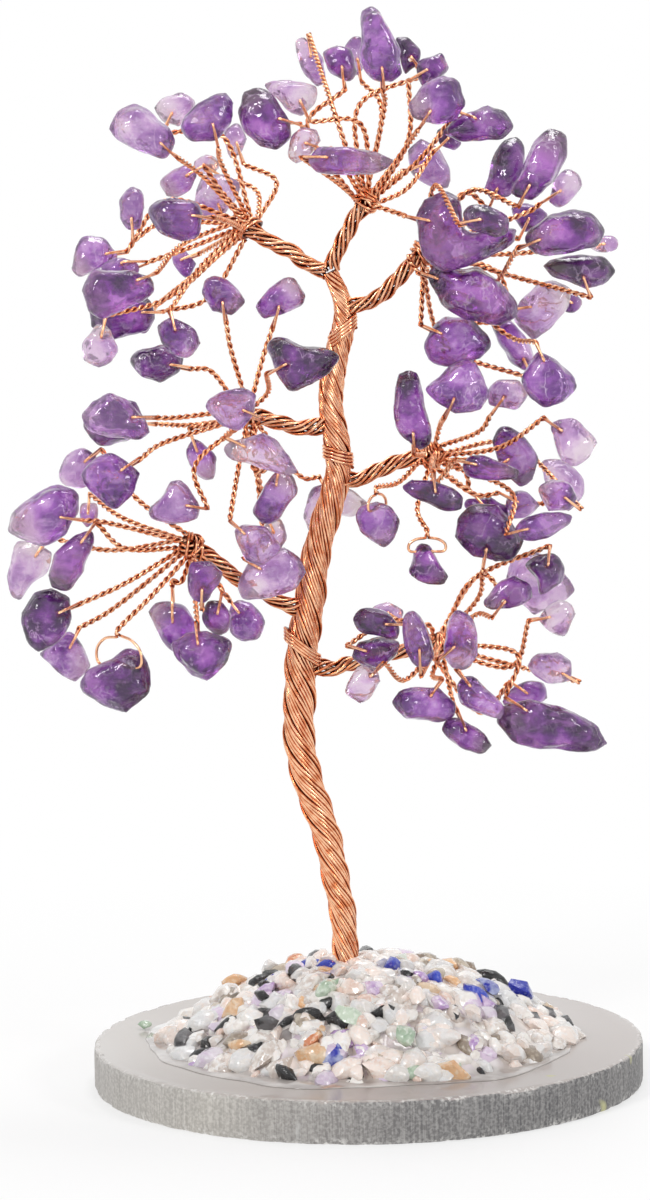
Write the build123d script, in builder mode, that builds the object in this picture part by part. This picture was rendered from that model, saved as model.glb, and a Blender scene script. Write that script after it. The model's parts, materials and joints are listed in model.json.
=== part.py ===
from build123d import *
import os
from math import ceil, cos, pi, radians, sin, sqrt
from random import Random

import numpy as np

# Saw-cut slice of stone that the tree stands on
SLAB_DIAMETER = 80.0
SLAB_THICKNESS = 6.2
SLAB_RIM = 0.45

# Heap of clear resin and gravel
MOUND_RADIUS = 29.5
MOUND_HEIGHT = 11.5
GRAVEL_SIZE = 6.2
GRAVEL_GAP = 0.2
LONE_STONE_SIZE = 3.6

# Copper wire
WIRE_DIAMETER = 0.45
TWIG_WIDTH = 0.88
CORD_DIAMETER = 2.3
KNOT_DIAMETER = 4.4
TRUNK_DIAMETER = 4.7
TRUNK_LAY = 24.0
CORD_LAY = 12.0
ROOT_DIAMETER = 1.5
BINDING_PITCH = 0.95
BINDING_GAP = 0.12

# Amethyst chips
CHIP_GAP = 0.4
CHIP_HOLE = 0.95
HOLE_MARGIN = 1.35
LOOP_STAND = 0.45
TWIG_GAP = 0.12
PIN_CLEARANCE = 0.08
SWING_SPACE = 0.5
LEG_DIAMETER = 0.54
LEG_CLEARANCE = 0.1

# How the picture of the tree was taken: from this far away, looking down a little
VIEW_DISTANCE = 709.0
VIEW_TILT = 7.4
VIEW_ROLL = -0.9
PICTURE_MIDDLE = (325, 600)
SLAB_SPOT = (368.8, 1079.4)
SLAB_PIXELS = 547.5
PIXEL = SLAB_DIAMETER / SLAB_PIXELS
CANOPY_DEPTH = 24.0

# Trunk, from the resin up: picture column, row and share of the trunk's diameter
TRUNK_SPOT_SHARES = [
    (344, 925, 0.86), (338, 890, 0.88), (326, 833, 0.92), (309, 785, 1.0), (299, 737, 1.05),
    (300, 695, 1.1), (302, 652, 1.12), (310, 600, 1.06), (317, 550, 1.02), (329, 508, 1.02),
    (338, 472, 0.94), (336, 438, 1.0), (331, 410, 0.92), (331, 390, 0.96), (337, 352, 0.92),
    (344, 322, 0.95), (340, 294, 0.88), (330, 272, 0.74),
]

# Branches: picture columns and rows from the trunk to the knot, and the knot's depth share
BRANCH_SPOTS = {
    "crown": ([(331, 274), (334, 258), (343, 240), (356, 215), (366, 202)], -0.05),
    "upper_left": ([(330, 273), (306, 263), (290, 251), (272, 243), (247, 227)], 0.12),
    "upper_right": ([(346, 308), (373, 300), (386, 291), (400, 276), (424, 250)], -0.1),
    "middle_left": ([(336, 434), (302, 428), (285, 424), (268, 419), (247, 415)], -0.06),
    "middle_right": ([(340, 487), (372, 473), (400, 461), (430, 455)], 0.15),
    "lower_left": ([(312, 626), (285, 604), (240, 580), (210, 556), (193, 547)], -0.12),
    "lower_right": ([(306, 688), (335, 668), (355, 662), (395, 652), (436, 646)], 0.08),
}

# Chips: picture column and row of the middle, length and width there, tilt in degrees,
# depth share, how much thinner the far end is, tone, and where the twig passes on its way
DEEP, VIOLET, PALE = "deep", "violet", "pale"
CHIP_SHARES = {
    "crown": [
        (453, 232, 92, 60, -18, -0.45, 0.35, DEEP, (400, 214)),
        (350, 163, 88, 29, -1, -0.75, 0.05, VIOLET, None),
        (381, 46, 82, 44, 108, -0.60, 0.35, VIOLET, (384, 110)),
        (437, 98, 62, 46, 20, -0.60, 0.0, VIOLET, (404, 150)),
        (478, 124, 74, 36, 5, -0.50, 0.1, DEEP, (430, 168)),
        (307, 143, 46, 34, 50, -0.50, 0.1, PALE, (335, 152)),
        (265, 118, 72, 48, -42, -0.50, 0.1, DEEP, (318, 150)),
        (294, 96, 58, 36, 4, -0.30, -0.3, PALE, (325, 150)),
        (437, 66, 46, 36, 60, -0.20, 0.0, DEEP, (408, 140)),
        (410, 58, 48, 28, -60, -0.05, 0.0, DEEP, (398, 125)),
        (343, 63, 56, 30, -48, 0.00, 0.0, DEEP, (350, 120)),
        (355, 55, 40, 26, 80, 0.30, 0.0, PALE, (368, 112)),
        (444, 139, 38, 24, -30, 0.15, 0.0, DEEP, None),
        (430, 163, 60, 46, -50, 0.35, 0.1, PALE, None),
        (310, 62, 54, 24, -66, 0.30, 0.2, PALE, (337, 130)),
    ],
    "upper_left": [
        (178, 340, 46, 36, -40, -0.50, 0.0, VIOLET, (211, 275)),
        (177, 219, 56, 42, -10, -0.75, 0.1, VIOLET, None),
        (118, 293, 72, 46, 10, -0.75, 0.35, DEEP, (190, 255)),
        (143, 131, 72, 46, 165, -0.55, 0.35, PALE, (205, 178)),
        (101, 346, 48, 35, 80, -0.50, -0.1, PALE, (170, 296)),
        (210, 120, 62, 42, 55, -0.45, 0.1, VIOLET, (222, 165)),
        (132, 211, 46, 28, 90, -0.35, 0.05, PALE, (165, 222)),
        (120, 268, 40, 24, 0, -0.25, 0.0, VIOLET, (185, 249)),
        (180, 183, 42, 30, 25, -0.10, 0.1, VIOLET, None),
        (112, 318, 58, 34, -5, 0.05, 0.1, DEEP, (190, 278)),
        (95, 257, 46, 36, 75, 0.00, 0.0, VIOLET, (175, 243)),
        (215, 197, 56, 38, 55, 0.20, 0.0, PALE, None),
        (175, 108, 44, 34, 0, 0.20, 0.0, PALE, (190, 165)),
        (236, 141, 34, 24, -60, 0.35, 0.0, PALE, (233, 185)),
        (145, 316, 36, 26, 75, 0.45, 0.0, DEEP, (185, 282)),
        (187, 263, 36, 22, -60, 0.60, 0.1, VIOLET, None),
        (206, 164, 26, 18, 0, 0.60, 0.0, PALE, None),
    ],
    "upper_right": [
        (487, 220, 50, 30, -15, -0.95, 0.05, DEEP, (455, 225)),
        (545, 163, 78, 38, 60, -0.60, -0.1, DEEP, (480, 215)),
        (563, 233, 78, 42, 3, -0.55, 0.1, DEEP, (490, 256)),
        (548, 378, 64, 44, -35, -0.45, 0.1, VIOLET, (505, 330)),
        (473, 292, 100, 50, -28, -0.35, 0.05, DEEP, None),
        (577, 271, 76, 34, -3, -0.35, 0.0, DEEP, (510, 258)),
        (506, 169, 66, 34, 68, -0.25, 0.0, DEEP, (470, 205)),
        (456, 342, 70, 48, 0, -0.20, 0.0, VIOLET, None),
        (562, 190, 56, 32, 40, -0.10, 0.1, PALE, (520, 215)),
        (544, 309, 66, 46, 50, -0.05, 0.0, PALE, (495, 268)),
        (530, 216, 44, 26, -10, 0.05, 0.0, VIOLET, None),
        (513, 346, 62, 32, -55, 0.15, 0.1, VIOLET, None),
        (601, 245, 34, 16, 5, 0.10, 0.0, PALE, (500, 254)),
        (569, 302, 30, 16, 0, 0.40, 0.0, VIOLET, (510, 290)),
    ],
    "middle_left": [
        (232, 408, 52, 40, 15, -0.70, -0.2, PALE, None),
        (305, 362, 74, 46, -10, -0.60, 0.3, DEEP, (268, 392)),
        (262, 452, 78, 34, -20, -0.60, 0.1, PALE, None),
        (254, 546, 50, 42, -20, -0.60, 0.1, PALE, None),
        (107, 480, 60, 46, 20, -0.60, 0.1, VIOLET, (165, 442)),
        (335, 508, 66, 38, 12, -0.50, 0.1, PALE, (298, 474)),
        (116, 418, 70, 48, -5, -0.45, 0.1, PALE, (180, 417)),
        (274, 497, 52, 40, 55, -0.40, 0.1, VIOLET, (254, 470)),
        (173, 503, 48, 40, 90, -0.45, 0.35, PALE, (195, 465)),
        (224, 296, 50, 34, -35, -0.30, 0.1, VIOLET, (231, 350)),
        (275, 575, 72, 42, 18, -0.30, 0.05, PALE, (262, 535)),
        (281, 300, 56, 38, 35, -0.20, 0.05, VIOLET, (262, 360)),
        (200, 458, 50, 32, -65, -0.10, 0.1, VIOLET, None),
        (272, 536, 38, 28, 80, 0.05, 0.0, PALE, None),
        (160, 362, 60, 38, 10, 0.05, 0.0, DEEP, (212, 372)),
        (120, 420, 68, 50, 0, 0.20, 0.0, DEEP, (190, 425)),
    ],
    "middle_right": [
        (432, 492, 66, 27, -14, -0.65, 0.05, DEEP, None),
        (543, 524, 64, 28, 15, -0.60, 0.1, VIOLET, (500, 500)),
        (465, 386, 64, 54, 195, -0.50, 0.35, VIOLET, (440, 425)),
        (491, 468, 62, 26, -8, -0.50, 0.0, DEEP, None),
        (412, 410, 82, 36, -80, -0.40, 0.0, DEEP, None),
        (555, 494, 48, 34, 0, -0.40, 0.0, VIOLET, (500, 483)),
        (573, 443, 54, 46, -25, -0.40, 0.1, PALE, (500, 447)),
        (508, 395, 42, 30, -5, -0.25, 0.0, PALE, (478, 432)),
        (514, 456, 66, 42, -60, -0.05, 0.1, VIOLET, (470, 447)),
        (520, 504, 36, 30, 0, 0.00, 0.0, PALE, (480, 482)),
        (489, 508, 52, 22, -10, 0.10, 0.0, DEEP, (455, 480)),
        (562, 484, 60, 42, -50, 0.20, 0.0, PALE, (505, 478)),
    ],
    "lower_left": [
        (205, 581, 44, 36, -30, -0.80, 0.1, DEEP, None),
        (203, 655, 62, 50, -20, -0.70, 0.1, DEEP, (195, 600)),
        (72, 560, 64, 34, 58, -0.60, 0.1, DEEP, (125, 548)),
        (43, 513, 80, 52, 25, -0.50, 0.1, VIOLET, (110, 523)),
        (47, 620, 62, 46, 75, -0.50, 0.0, DEEP, (125, 583)),
        (219, 617, 38, 32, 70, -0.45, 0.0, DEEP, (222, 590)),
        (30, 568, 60, 38, 80, -0.10, 0.0, PALE, (110, 550)),
        (68, 658, 60, 38, -40, -0.15, 0.0, VIOLET, (115, 607)),
        (248, 620, 48, 34, -60, 0.00, 0.0, VIOLET, (228, 598)),
        (80, 468, 44, 38, 40, 0.15, 0.0, PALE, (135, 497)),
        (90, 514, 30, 20, -80, 0.25, 0.0, VIOLET, (125, 519)),
    ],
    "lower_right": [
        (489, 532, 64, 54, 0, -0.40, 0.0, DEEP, (478, 598)),
        (415, 640, 60, 28, -66, -0.70, 0.0, VIOLET, None),
        (461, 640, 60, 36, 94, -0.65, 0.0, VIOLET, None),
        (364, 683, 42, 36, 60, -0.60, 0.05, PALE, (400, 667)),
        (378, 621, 50, 20, 5, -0.50, 0.0, DEEP, None),
        (508, 593, 56, 34, 28, -0.50, -0.1, DEEP, (475, 615)),
        (424, 704, 64, 34, -8, -0.50, 0.05, VIOLET, (432, 675)),
        (479, 697, 58, 30, -45, -0.50, 0.0, VIOLET, (448, 680)),
        (467, 737, 58, 32, -28, -0.45, 0.05, DEEP, (452, 700)),
        (375, 648, 54, 36, 0, -0.40, 0.0, DEEP, None),
        (547, 576, 44, 38, 60, -0.40, 0.0, DEEP, (490, 600)),
        (553, 727, 110, 46, -14, -0.40, 0.3, DEEP, (490, 688)),
        (557, 618, 40, 34, 20, -0.25, 0.1, PALE, (500, 625)),
        (550, 668, 46, 34, -5, -0.25, 0.0, PALE, (500, 662)),
        (525, 692, 46, 28, 15, -0.05, 0.0, VIOLET, (498, 673)),
        (388, 612, 42, 24, 10, 0.00, 0.0, PALE, None),
        (540, 590, 70, 48, -30, 0.25, 0.05, PALE, (500, 612)),
    ],
}

# Outlines of the chips that the picture shows plainly, clockwise: spray, then chip number
OUTLINE_SPOTS = {
    "crown": {
        0: [(414, 218), (424, 200), (444, 191), (457, 198), (462, 232), (485, 237), (517, 227),
            (515, 242), (470, 266), (442, 273), (424, 256)],
        1: [(307, 160), (318, 150), (345, 148), (378, 151), (394, 161), (383, 171), (350, 176),
            (316, 171)],
        2: [(362, 10), (371, 4), (379, 10), (400, 50), (403, 75), (393, 83), (374, 79), (360, 62)],
        3: [(408, 105), (424, 85), (443, 75), (457, 79), (467, 104), (456, 121), (436, 124),
            (412, 117)],
        4: [(441, 133), (468, 113), (487, 105), (505, 112), (513, 127), (503, 139), (462, 140)],
        5: [(291, 135), (303, 127), (317, 129), (322, 141), (308, 155), (297, 163), (288, 158)],
        6: [(236, 110), (243, 92), (258, 87), (270, 94), (291, 122), (290, 138), (277, 149),
            (262, 144), (244, 130)],
        7: [(264, 84), (282, 79), (303, 81), (319, 86), (314, 106), (302, 115), (286, 111)],
        8: [(418, 62), (432, 58), (442, 52), (449, 68), (438, 77), (424, 87), (417, 78)],
        9: [(394, 36), (408, 36), (420, 50), (421, 64), (404, 78), (398, 60)],
        10: [(323, 52), (336, 46), (349, 50), (357, 72), (349, 82), (330, 73)],
        12: [(435, 130), (448, 126), (463, 143), (454, 151), (440, 146)],
        13: [(408, 150), (420, 137), (437, 146), (453, 170), (449, 189), (434, 190), (412, 172)],
    },
    "upper_left": {
        0: [(158, 326), (169, 318), (195, 330), (200, 343), (190, 359), (176, 358), (162, 342)],
        1: [(147, 208), (157, 199), (178, 200), (197, 202), (204, 216), (199, 236), (182, 240),
            (160, 234)],
        2: [(92, 270), (130, 270), (152, 278), (154, 290), (140, 301), (100, 319), (87, 312),
            (83, 290)],
        3: [(106, 128), (118, 110), (135, 103), (153, 112), (170, 128), (176, 142), (165, 159),
            (142, 152), (114, 141)],
        4: [(84, 341), (97, 323), (108, 327), (119, 350), (112, 364), (98, 369), (84, 360)],
        5: [(182, 127), (195, 105), (212, 95), (227, 91), (234, 103), (230, 124), (215, 140),
            (192, 139)],
        6: [(120, 200), (130, 188), (141, 191), (145, 207), (140, 231), (127, 231), (119, 218)],
        8: [(160, 181), (173, 170), (190, 165), (198, 173), (192, 190), (178, 198), (166, 196)],
        9: [(84, 302), (97, 297), (148, 299), (155, 314), (148, 331), (110, 338), (90, 328)],
        10: [(71, 270), (75, 246), (83, 236), (104, 239), (119, 255), (113, 262), (97, 269),
            (79, 278)],
        11: [(193, 190), (202, 175), (224, 174), (240, 184), (235, 200), (221, 219), (207, 224),
            (195, 210)],
        12: [(153, 108), (163, 97), (182, 93), (196, 101), (192, 118), (178, 127), (162, 122)],
        13: [(223, 130), (238, 122), (247, 138), (242, 154), (229, 160)],
        15: [(170, 250), (180, 244), (197, 264), (187, 279), (173, 264)],
    },
    "upper_right": {
        0: [(463, 212), (471, 204), (486, 205), (508, 218), (508, 233), (495, 237), (470, 227)],
        1: [(512, 193), (522, 165), (534, 140), (550, 129), (567, 134), (565, 155), (551, 184),
            (530, 200)],
        2: [(525, 240), (534, 227), (550, 213), (572, 210), (592, 216), (603, 230), (597, 244),
            (572, 253), (546, 256), (531, 250)],
        3: [(537, 350), (556, 360), (572, 376), (577, 387), (563, 401), (544, 407), (530, 397),
            (522, 378)],
        4: [(427, 276), (434, 265), (456, 269), (478, 265), (498, 280), (518, 304), (517, 318),
            (500, 324), (466, 319), (441, 303)],
        5: [(539, 266), (550, 257), (578, 256), (604, 257), (615, 271), (604, 285), (585, 289),
            (552, 277)],
        6: [(484, 190), (490, 165), (503, 142), (517, 137), (525, 147), (521, 180), (510, 196),
            (492, 200)],
        7: [(423, 346), (429, 329), (443, 317), (470, 319), (486, 331), (491, 347), (480, 358),
            (448, 367), (430, 360)],
        8: [(548, 202), (555, 180), (567, 170), (578, 175), (581, 185), (570, 200), (558, 208)],
        9: [(515, 320), (523, 300), (537, 283), (553, 278), (571, 288), (567, 308), (548, 330),
            (533, 341)],
        10: [(511, 207), (526, 204), (548, 214), (540, 225), (524, 232)],
        11: [(490, 322), (508, 318), (527, 340), (535, 362), (526, 372), (510, 362)],
        12: [(585, 247), (600, 238), (615, 239), (617, 247), (602, 252)],
        13: [(562, 299), (575, 294), (581, 302), (574, 310), (563, 310)],
    },
    "middle_left": {
        0: [(206, 405), (220, 393), (244, 386), (256, 394), (254, 415), (240, 430), (222, 424)],
        1: [(266, 346), (275, 336), (288, 337), (303, 348), (322, 346), (340, 356), (330, 372),
            (312, 384), (290, 390), (276, 372)],
        2: [(222, 448), (234, 440), (265, 433), (278, 439), (299, 472), (290, 475), (262, 470),
            (234, 460)],
        3: [(232, 530), (240, 524), (266, 527), (283, 549), (262, 566), (246, 559)],
        4: [(81, 472), (92, 458), (113, 454), (128, 462), (141, 472), (133, 494), (115, 509),
            (100, 500), (84, 484)],
        5: [(303, 518), (311, 488), (332, 483), (354, 491), (370, 506), (352, 516), (338, 513),
            (312, 537)],
        6: [(81, 414), (91, 401), (110, 392), (128, 398), (146, 417), (151, 433), (141, 440),
            (108, 438), (85, 428)],
        7: [(251, 512), (264, 487), (277, 471), (292, 474), (297, 491), (280, 521), (262, 524)],
        8: [(171, 480), (181, 480), (198, 507), (197, 518), (172, 523), (150, 519), (148, 508),
            (162, 492)],
        9: [(202, 292), (205, 280), (214, 274), (238, 290), (246, 302), (232, 315), (212, 311)],
        10: [(239, 584), (249, 564), (284, 547), (300, 553), (309, 572), (298, 589), (262, 598),
            (242, 600)],
        11: [(255, 306), (266, 291), (284, 277), (294, 277), (306, 293), (304, 305), (285, 313),
            (262, 322)],
        12: [(184, 451), (192, 437), (200, 441), (216, 456), (215, 480), (206, 482), (188, 465)],
        14: [(131, 360), (139, 352), (163, 345), (184, 354), (181, 371), (160, 383), (141, 377)],
        15: [(83, 424), (98, 398), (135, 402), (148, 425), (128, 441), (99, 445)],
    },
    "middle_right": {
        0: [(400, 487), (410, 479), (430, 479), (452, 486), (464, 497), (462, 509), (446, 510),
            (416, 500)],
        1: [(513, 529), (522, 520), (545, 512), (573, 515), (570, 524), (546, 537), (522, 540)],
        2: [(424, 389), (444, 371), (458, 359), (472, 360), (484, 377), (489, 396), (480, 410),
            (455, 414), (436, 401)],
        3: [(461, 466), (470, 455), (482, 455), (520, 469), (520, 479), (506, 482), (466, 475)],
        4: [(398, 374), (408, 369), (416, 373), (424, 396), (431, 432), (430, 444), (420, 450),
            (400, 436), (394, 416), (396, 392)],
        5: [(537, 487), (552, 480), (569, 484), (577, 498), (570, 509), (548, 511)],
        6: [(549, 425), (558, 419), (574, 419), (599, 442), (590, 457), (575, 467), (560, 459)],
        7: [(488, 388), (498, 381), (519, 382), (528, 393), (518, 409), (488, 406)],
        8: [(492, 440), (499, 426), (510, 427), (528, 441), (539, 458), (534, 480), (520, 489),
            (500, 470)],
        9: [(506, 500), (512, 490), (526, 491), (540, 505), (526, 518), (510, 517)],
        11: [(540, 460), (562, 460), (584, 478), (584, 494), (570, 513), (552, 508)],
    },
    "lower_left": {
        0: [(186, 575), (190, 561), (212, 560), (226, 571), (218, 586), (205, 601), (195, 600),
            (187, 589)],
        1: [(170, 643), (186, 632), (204, 631), (231, 642), (228, 664), (207, 681), (190, 676),
            (175, 658)],
        2: [(48, 575), (54, 553), (75, 533), (92, 529), (95, 536), (82, 572), (68, 590), (52, 587)],
        3: [(6, 531), (14, 513), (38, 490), (60, 482), (78, 491), (77, 512), (67, 535),
            (42, 546), (18, 538)],
        4: [(22, 613), (34, 593), (52, 588), (70, 597), (70, 620), (56, 644), (38, 652), (30, 642)],
        5: [(203, 618), (208, 601), (222, 602), (232, 615), (228, 633), (216, 636), (206, 630)],
        6: [(8, 582), (16, 540), (38, 541), (52, 552), (46, 572), (31, 583), (20, 600), (10, 596)],
        7: [(38, 653), (55, 640), (70, 630), (84, 650), (90, 666), (76, 684), (56, 671)],
        8: [(230, 605), (238, 598), (252, 603), (264, 622), (258, 638), (241, 642), (231, 632)],
        9: [(59, 478), (66, 456), (82, 448), (96, 456), (98, 466), (84, 485), (66, 484)],
        10: [(80, 503), (98, 503), (97, 518), (87, 529), (80, 520)],
    },
    "lower_right": {
        0: [(453, 538), (457, 517), (470, 507), (497, 504), (511, 517), (525, 541), (512, 560),
            (495, 563), (472, 557)],
        1: [(403, 618), (410, 610), (418, 615), (430, 642), (435, 658), (428, 667), (416, 666),
            (407, 646)],
        2: [(449, 618), (457, 609), (469, 613), (479, 634), (478, 656), (465, 670), (452, 668),
            (444, 654)],
        3: [(345, 692), (352, 672), (361, 663), (377, 667), (381, 680), (372, 696), (360, 703)],
        4: [(352, 617), (360, 608), (386, 612), (401, 628), (398, 640), (375, 635), (358, 630)],
        5: [(481, 603), (498, 581), (514, 574), (530, 584), (535, 598), (518, 607), (492, 610)],
        6: [(391, 702), (399, 691), (415, 686), (440, 687), (455, 702), (455, 714), (438, 723),
            (405, 718)],
        7: [(457, 685), (463, 675), (474, 676), (505, 707), (502, 720), (490, 717), (462, 702)],
        8: [(442, 729), (447, 719), (462, 719), (486, 731), (494, 746), (484, 755), (462, 748)],
        9: [(351, 657), (358, 642), (375, 637), (400, 642), (397, 656), (380, 670), (362, 666)],
        10: [(524, 564), (538, 556), (552, 554), (563, 566), (562, 582), (549, 591), (539, 596),
            (537, 580)],
        11: [(495, 721), (503, 706), (530, 698), (552, 707), (576, 712), (597, 727), (608, 743),
            (598, 750), (540, 750), (511, 739)],
        12: [(538, 619), (546, 607), (558, 600), (572, 603), (576, 614), (564, 636), (549, 629)],
        13: [(527, 665), (534, 655), (558, 652), (571, 661), (571, 681), (553, 684), (532, 672)],
        14: [(502, 703), (512, 689), (528, 681), (545, 683), (548, 698), (530, 707)],
        15: [(370, 608), (388, 601), (402, 611), (398, 622), (380, 620)],
        16: [(504, 580), (511, 559), (533, 552), (556, 559), (575, 590), (562, 603), (534, 614),
            (518, 600)],
    },
}

# Chips that hang free: spray, picture column and row of the pin, depth share, where the
# twig passes, the pin's turn from left and right, and the chip's outline
HANGING_SHARES = {
    "heart_drop": ("middle_right", 377, 509, -0.3, (398, 482), 60, [
        (353, 516), (360, 506), (376, 502), (392, 507), (398, 520), (394, 535), (384, 547),
        (360, 532)]),
    "long_drop": ("middle_right", 427, 551, -0.25, (417, 508), 0, [
        (413, 553), (420, 544), (429, 545), (437, 560), (449, 576), (443, 584), (428, 584),
        (408, 574)]),
    "broad_drop": ("lower_left", 119, 665, -0.4, (150, 597), -40, [
        (74, 684), (81, 671), (104, 662), (120, 650), (135, 651), (147, 671), (146, 692),
        (121, 713), (98, 704), (77, 692)]),
    "ringed_drop": ("lower_left", 173, 619, -0.15, (181, 582), 90, [
        (150, 611), (157, 602), (170, 601), (186, 607), (199, 622), (200, 640), (190, 653),
        (176, 651), (160, 634)]),
}
SWING_LIMITS = {
    "heart_drop": (-50, 50), "long_drop": (-60, 60), "broad_drop": (-40, 40),
    "ringed_drop": (-60, 60),
}

# Bindings: picture rows between which a wire is wound round the trunk
BINDING_ROWS = [(322, 342), (446, 466), (636, 658)]

# Resin heap: height and spread of its outline, from the slab up
MOUND_SHARES = [(0.0, 1.0), (0.42, 0.88), (0.82, 0.52), (1.0, 0.16)]

# Gravel: minerals in the order that the handfuls were mixed
MINERALS = [
    "clear_quartz", "rose_quartz", "amethyst", "black_tourmaline",
    "lapis", "carnelian", "aventurine", "tiger_eye",
]
STONES_PER_MINERAL = 3
STONE_SHARES = (1.0, 0.8, 0.55)
GRAVEL_REACH_SHARE = 0.9
GRAVEL_SPACING_SHARE = 1.2
SLOPE_STEP_SHARE = 0.05
LONE_STONE = (145, 1018)
LONE_STONE_DEPTH_SHARE = 0.34

os.makedirs("parts", exist_ok=True)

# The picture's own directions, and the eye that saw it
tilt, roll = radians(VIEW_TILT), radians(VIEW_ROLL)
FORWARD = np.array([0.0, cos(tilt), -sin(tilt)])
LEVEL, UPRIGHT = np.array([1.0, 0.0, 0.0]), np.array([0.0, sin(tilt), cos(tilt)])
ACROSS = LEVEL * cos(roll) + UPRIGHT * sin(roll)
ALOFT = UPRIGHT * cos(roll) - LEVEL * sin(roll)


def sight(column, row):
    """The line of sight through a picture spot, one picture depth long."""
    x, y = column - PICTURE_MIDDLE[0], row - PICTURE_MIDDLE[1]
    right = cos(roll) * x + sin(roll) * y
    down = cos(roll) * y - sin(roll) * x
    return FORWARD + (LEVEL * right - UPRIGHT * down) * PIXEL / VIEW_DISTANCE


EYE = -VIEW_DISTANCE * sight(*SLAB_SPOT)


def spot(column, row, depth=0.0):
    """The point at that depth behind the trunk that the picture shows at a spot."""
    ray = sight(column, row)
    return EYE + ray * (depth - EYE[1]) / ray[1]


def unit(vector):
    return vector / np.linalg.norm(vector)


GOLDEN_TURN = pi * (3 - sqrt(5))


def sphere_directions(count):
    """Directions spread evenly over a ball, along a spiral from pole to pole."""
    heights = [1 - (2 * i + 1) / count for i in range(count)]
    return np.array([
        (sqrt(1 - h * h) * cos(GOLDEN_TURN * i), sqrt(1 - h * h) * sin(GOLDEN_TURN * i), h)
        for i, h in enumerate(heights)
    ])


class Occupied:
    """Convex pieces already placed, as their reach along many directions."""

    directions = np.vstack([np.eye(3), sphere_directions(90)])

    def __init__(self):
        self.low = np.empty((0, len(self.directions)))
        self.high = np.empty((0, len(self.directions)))

    def reach(self, points, pad):
        along = np.asarray(points) @ self.directions.T
        return along.min(axis=0) - pad, along.max(axis=0) + pad

    def add(self, points, pad=0.0):
        low, high = self.reach(points, pad)
        self.low = np.vstack([self.low, low])
        self.high = np.vstack([self.high, high])

    def gap(self, points, pad=0.0):
        """The clear space between these points' hull and the nearest piece."""
        if not len(self.low):
            return VIEW_DISTANCE
        low, high = self.reach(points, pad)
        return np.maximum(low - self.high, self.low - high).max(axis=1).min()


def way_out(place, way, low, high):
    """How far a piece with that reach goes from a place inside it, along a way."""
    along = Occupied.directions @ way
    faced = np.where(along > 0, high, low) - Occupied.directions @ place
    return min(faced[abs(along) > 0.05] / along[abs(along) > 0.05])


def facets(four):
    """One flat face for four corners in a plane, or two triangles."""
    a, b, c, d = four
    if abs(np.dot(unit(np.cross(b - a, c - a)), unit(d - a))) < 1e-7:
        return [four]
    if np.linalg.norm(c - a) < np.linalg.norm(d - b):
        return [(a, b, c), (a, c, d)]
    return [(a, b, d), (b, c, d)]


def skin(rings):
    """A closed faceted solid that joins each ring of corners to the next."""
    outlines = [rings[0][::-1], rings[-1]]
    for near, far in zip(rings, rings[1:]):
        for i in range(len(near)):
            outlines += facets((near[i - 1], near[i], far[i], far[i - 1]))
    faces = [Face(Wire.make_polygon([Vector(*corner) for corner in line])) for line in outlines]
    return Solid(Shell(faces))


def route_rings(points, widths, sides=4, twist=0.0, lobes=0.0):
    """Rings of corners square to a route, mitred at its bends and turned along it."""
    points = [np.asarray(point) for point in points]
    steps = [unit(b - a) for a, b in zip(points, points[1:])]
    aside = np.cross(steps[0], ALOFT if abs(np.dot(steps[0], ALOFT)) < 0.9 else ACROSS)
    rings, turned = [], 0.0
    for i, point in enumerate(points):
        before, after = steps[max(i - 1, 0)], steps[min(i, len(steps) - 1)]
        along = unit(before + after)
        aside = unit(aside - np.dot(aside, along) * along)
        over = np.cross(along, aside)
        turned += twist * np.linalg.norm(point - points[i - 1]) if i else 0.0
        bend = after - before
        stretch = min(1 / max(np.dot(along, after), 0.1), 1.5) - 1
        outward = unit(bend - np.dot(bend, along) * along) if stretch > 1e-6 else aside
        ring = []
        for k in range(sides):
            angle = 2 * pi * k / sides + turned
            radius = widths[i] / 2 * (1 - lobes * (k % 2))
            arm = (aside * cos(angle) + over * sin(angle)) * radius
            ring.append(point + arm + outward * np.dot(arm, outward) * stretch)
        rings.append(ring)
    return rings


def smooth(points, step):
    """Points a step apart on a smooth line through the given ones."""
    points = [np.asarray(point) for point in points]
    ends = [2 * points[0] - points[1]] + points + [2 * points[-1] - points[-2]]
    line = []
    for a, b, c, d in zip(ends, ends[1:], ends[2:], ends[3:]):
        count = max(1, ceil(np.linalg.norm(c - b) / step))
        for i in range(count):
            t = i / count
            line.append(0.5 * (2 * b + (c - a) * t + (2 * a - 5 * b + 4 * c - d) * t ** 2
                               + (3 * b - a - 3 * c + d) * t ** 3))
    return line + [points[-1]]


ROUNDNESS = 2.3


def stone_rings(middle, half_sizes, axes, thin_end, levels, sides, draw):
    """Rings of corners for a tumbled stone along the first axis."""
    bulges = [(1 - abs(level) ** ROUNDNESS) ** (1 / ROUNDNESS) * (1 - thin_end * (level + 1) / 2)
              for level in levels]
    rings = []
    for level, bulge in zip(levels, np.array(bulges) / max(bulges)):
        start = draw.uniform(0, 2 * pi / sides)
        ring = []
        for k in range(sides):
            angle = start + 2 * pi * k / sides
            radius = bulge * draw.uniform(0.95, 1.05)
            ring.append(middle + axes[0] * half_sizes[0] * level
                        + axes[1] * half_sizes[1] * radius * cos(angle)
                        + axes[2] * half_sizes[2] * radius * sin(angle))
        rings.append(ring)
    return rings


FACE_LEVEL = 0.9
FACE_SHARES = (0.5, 0.74)


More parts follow.
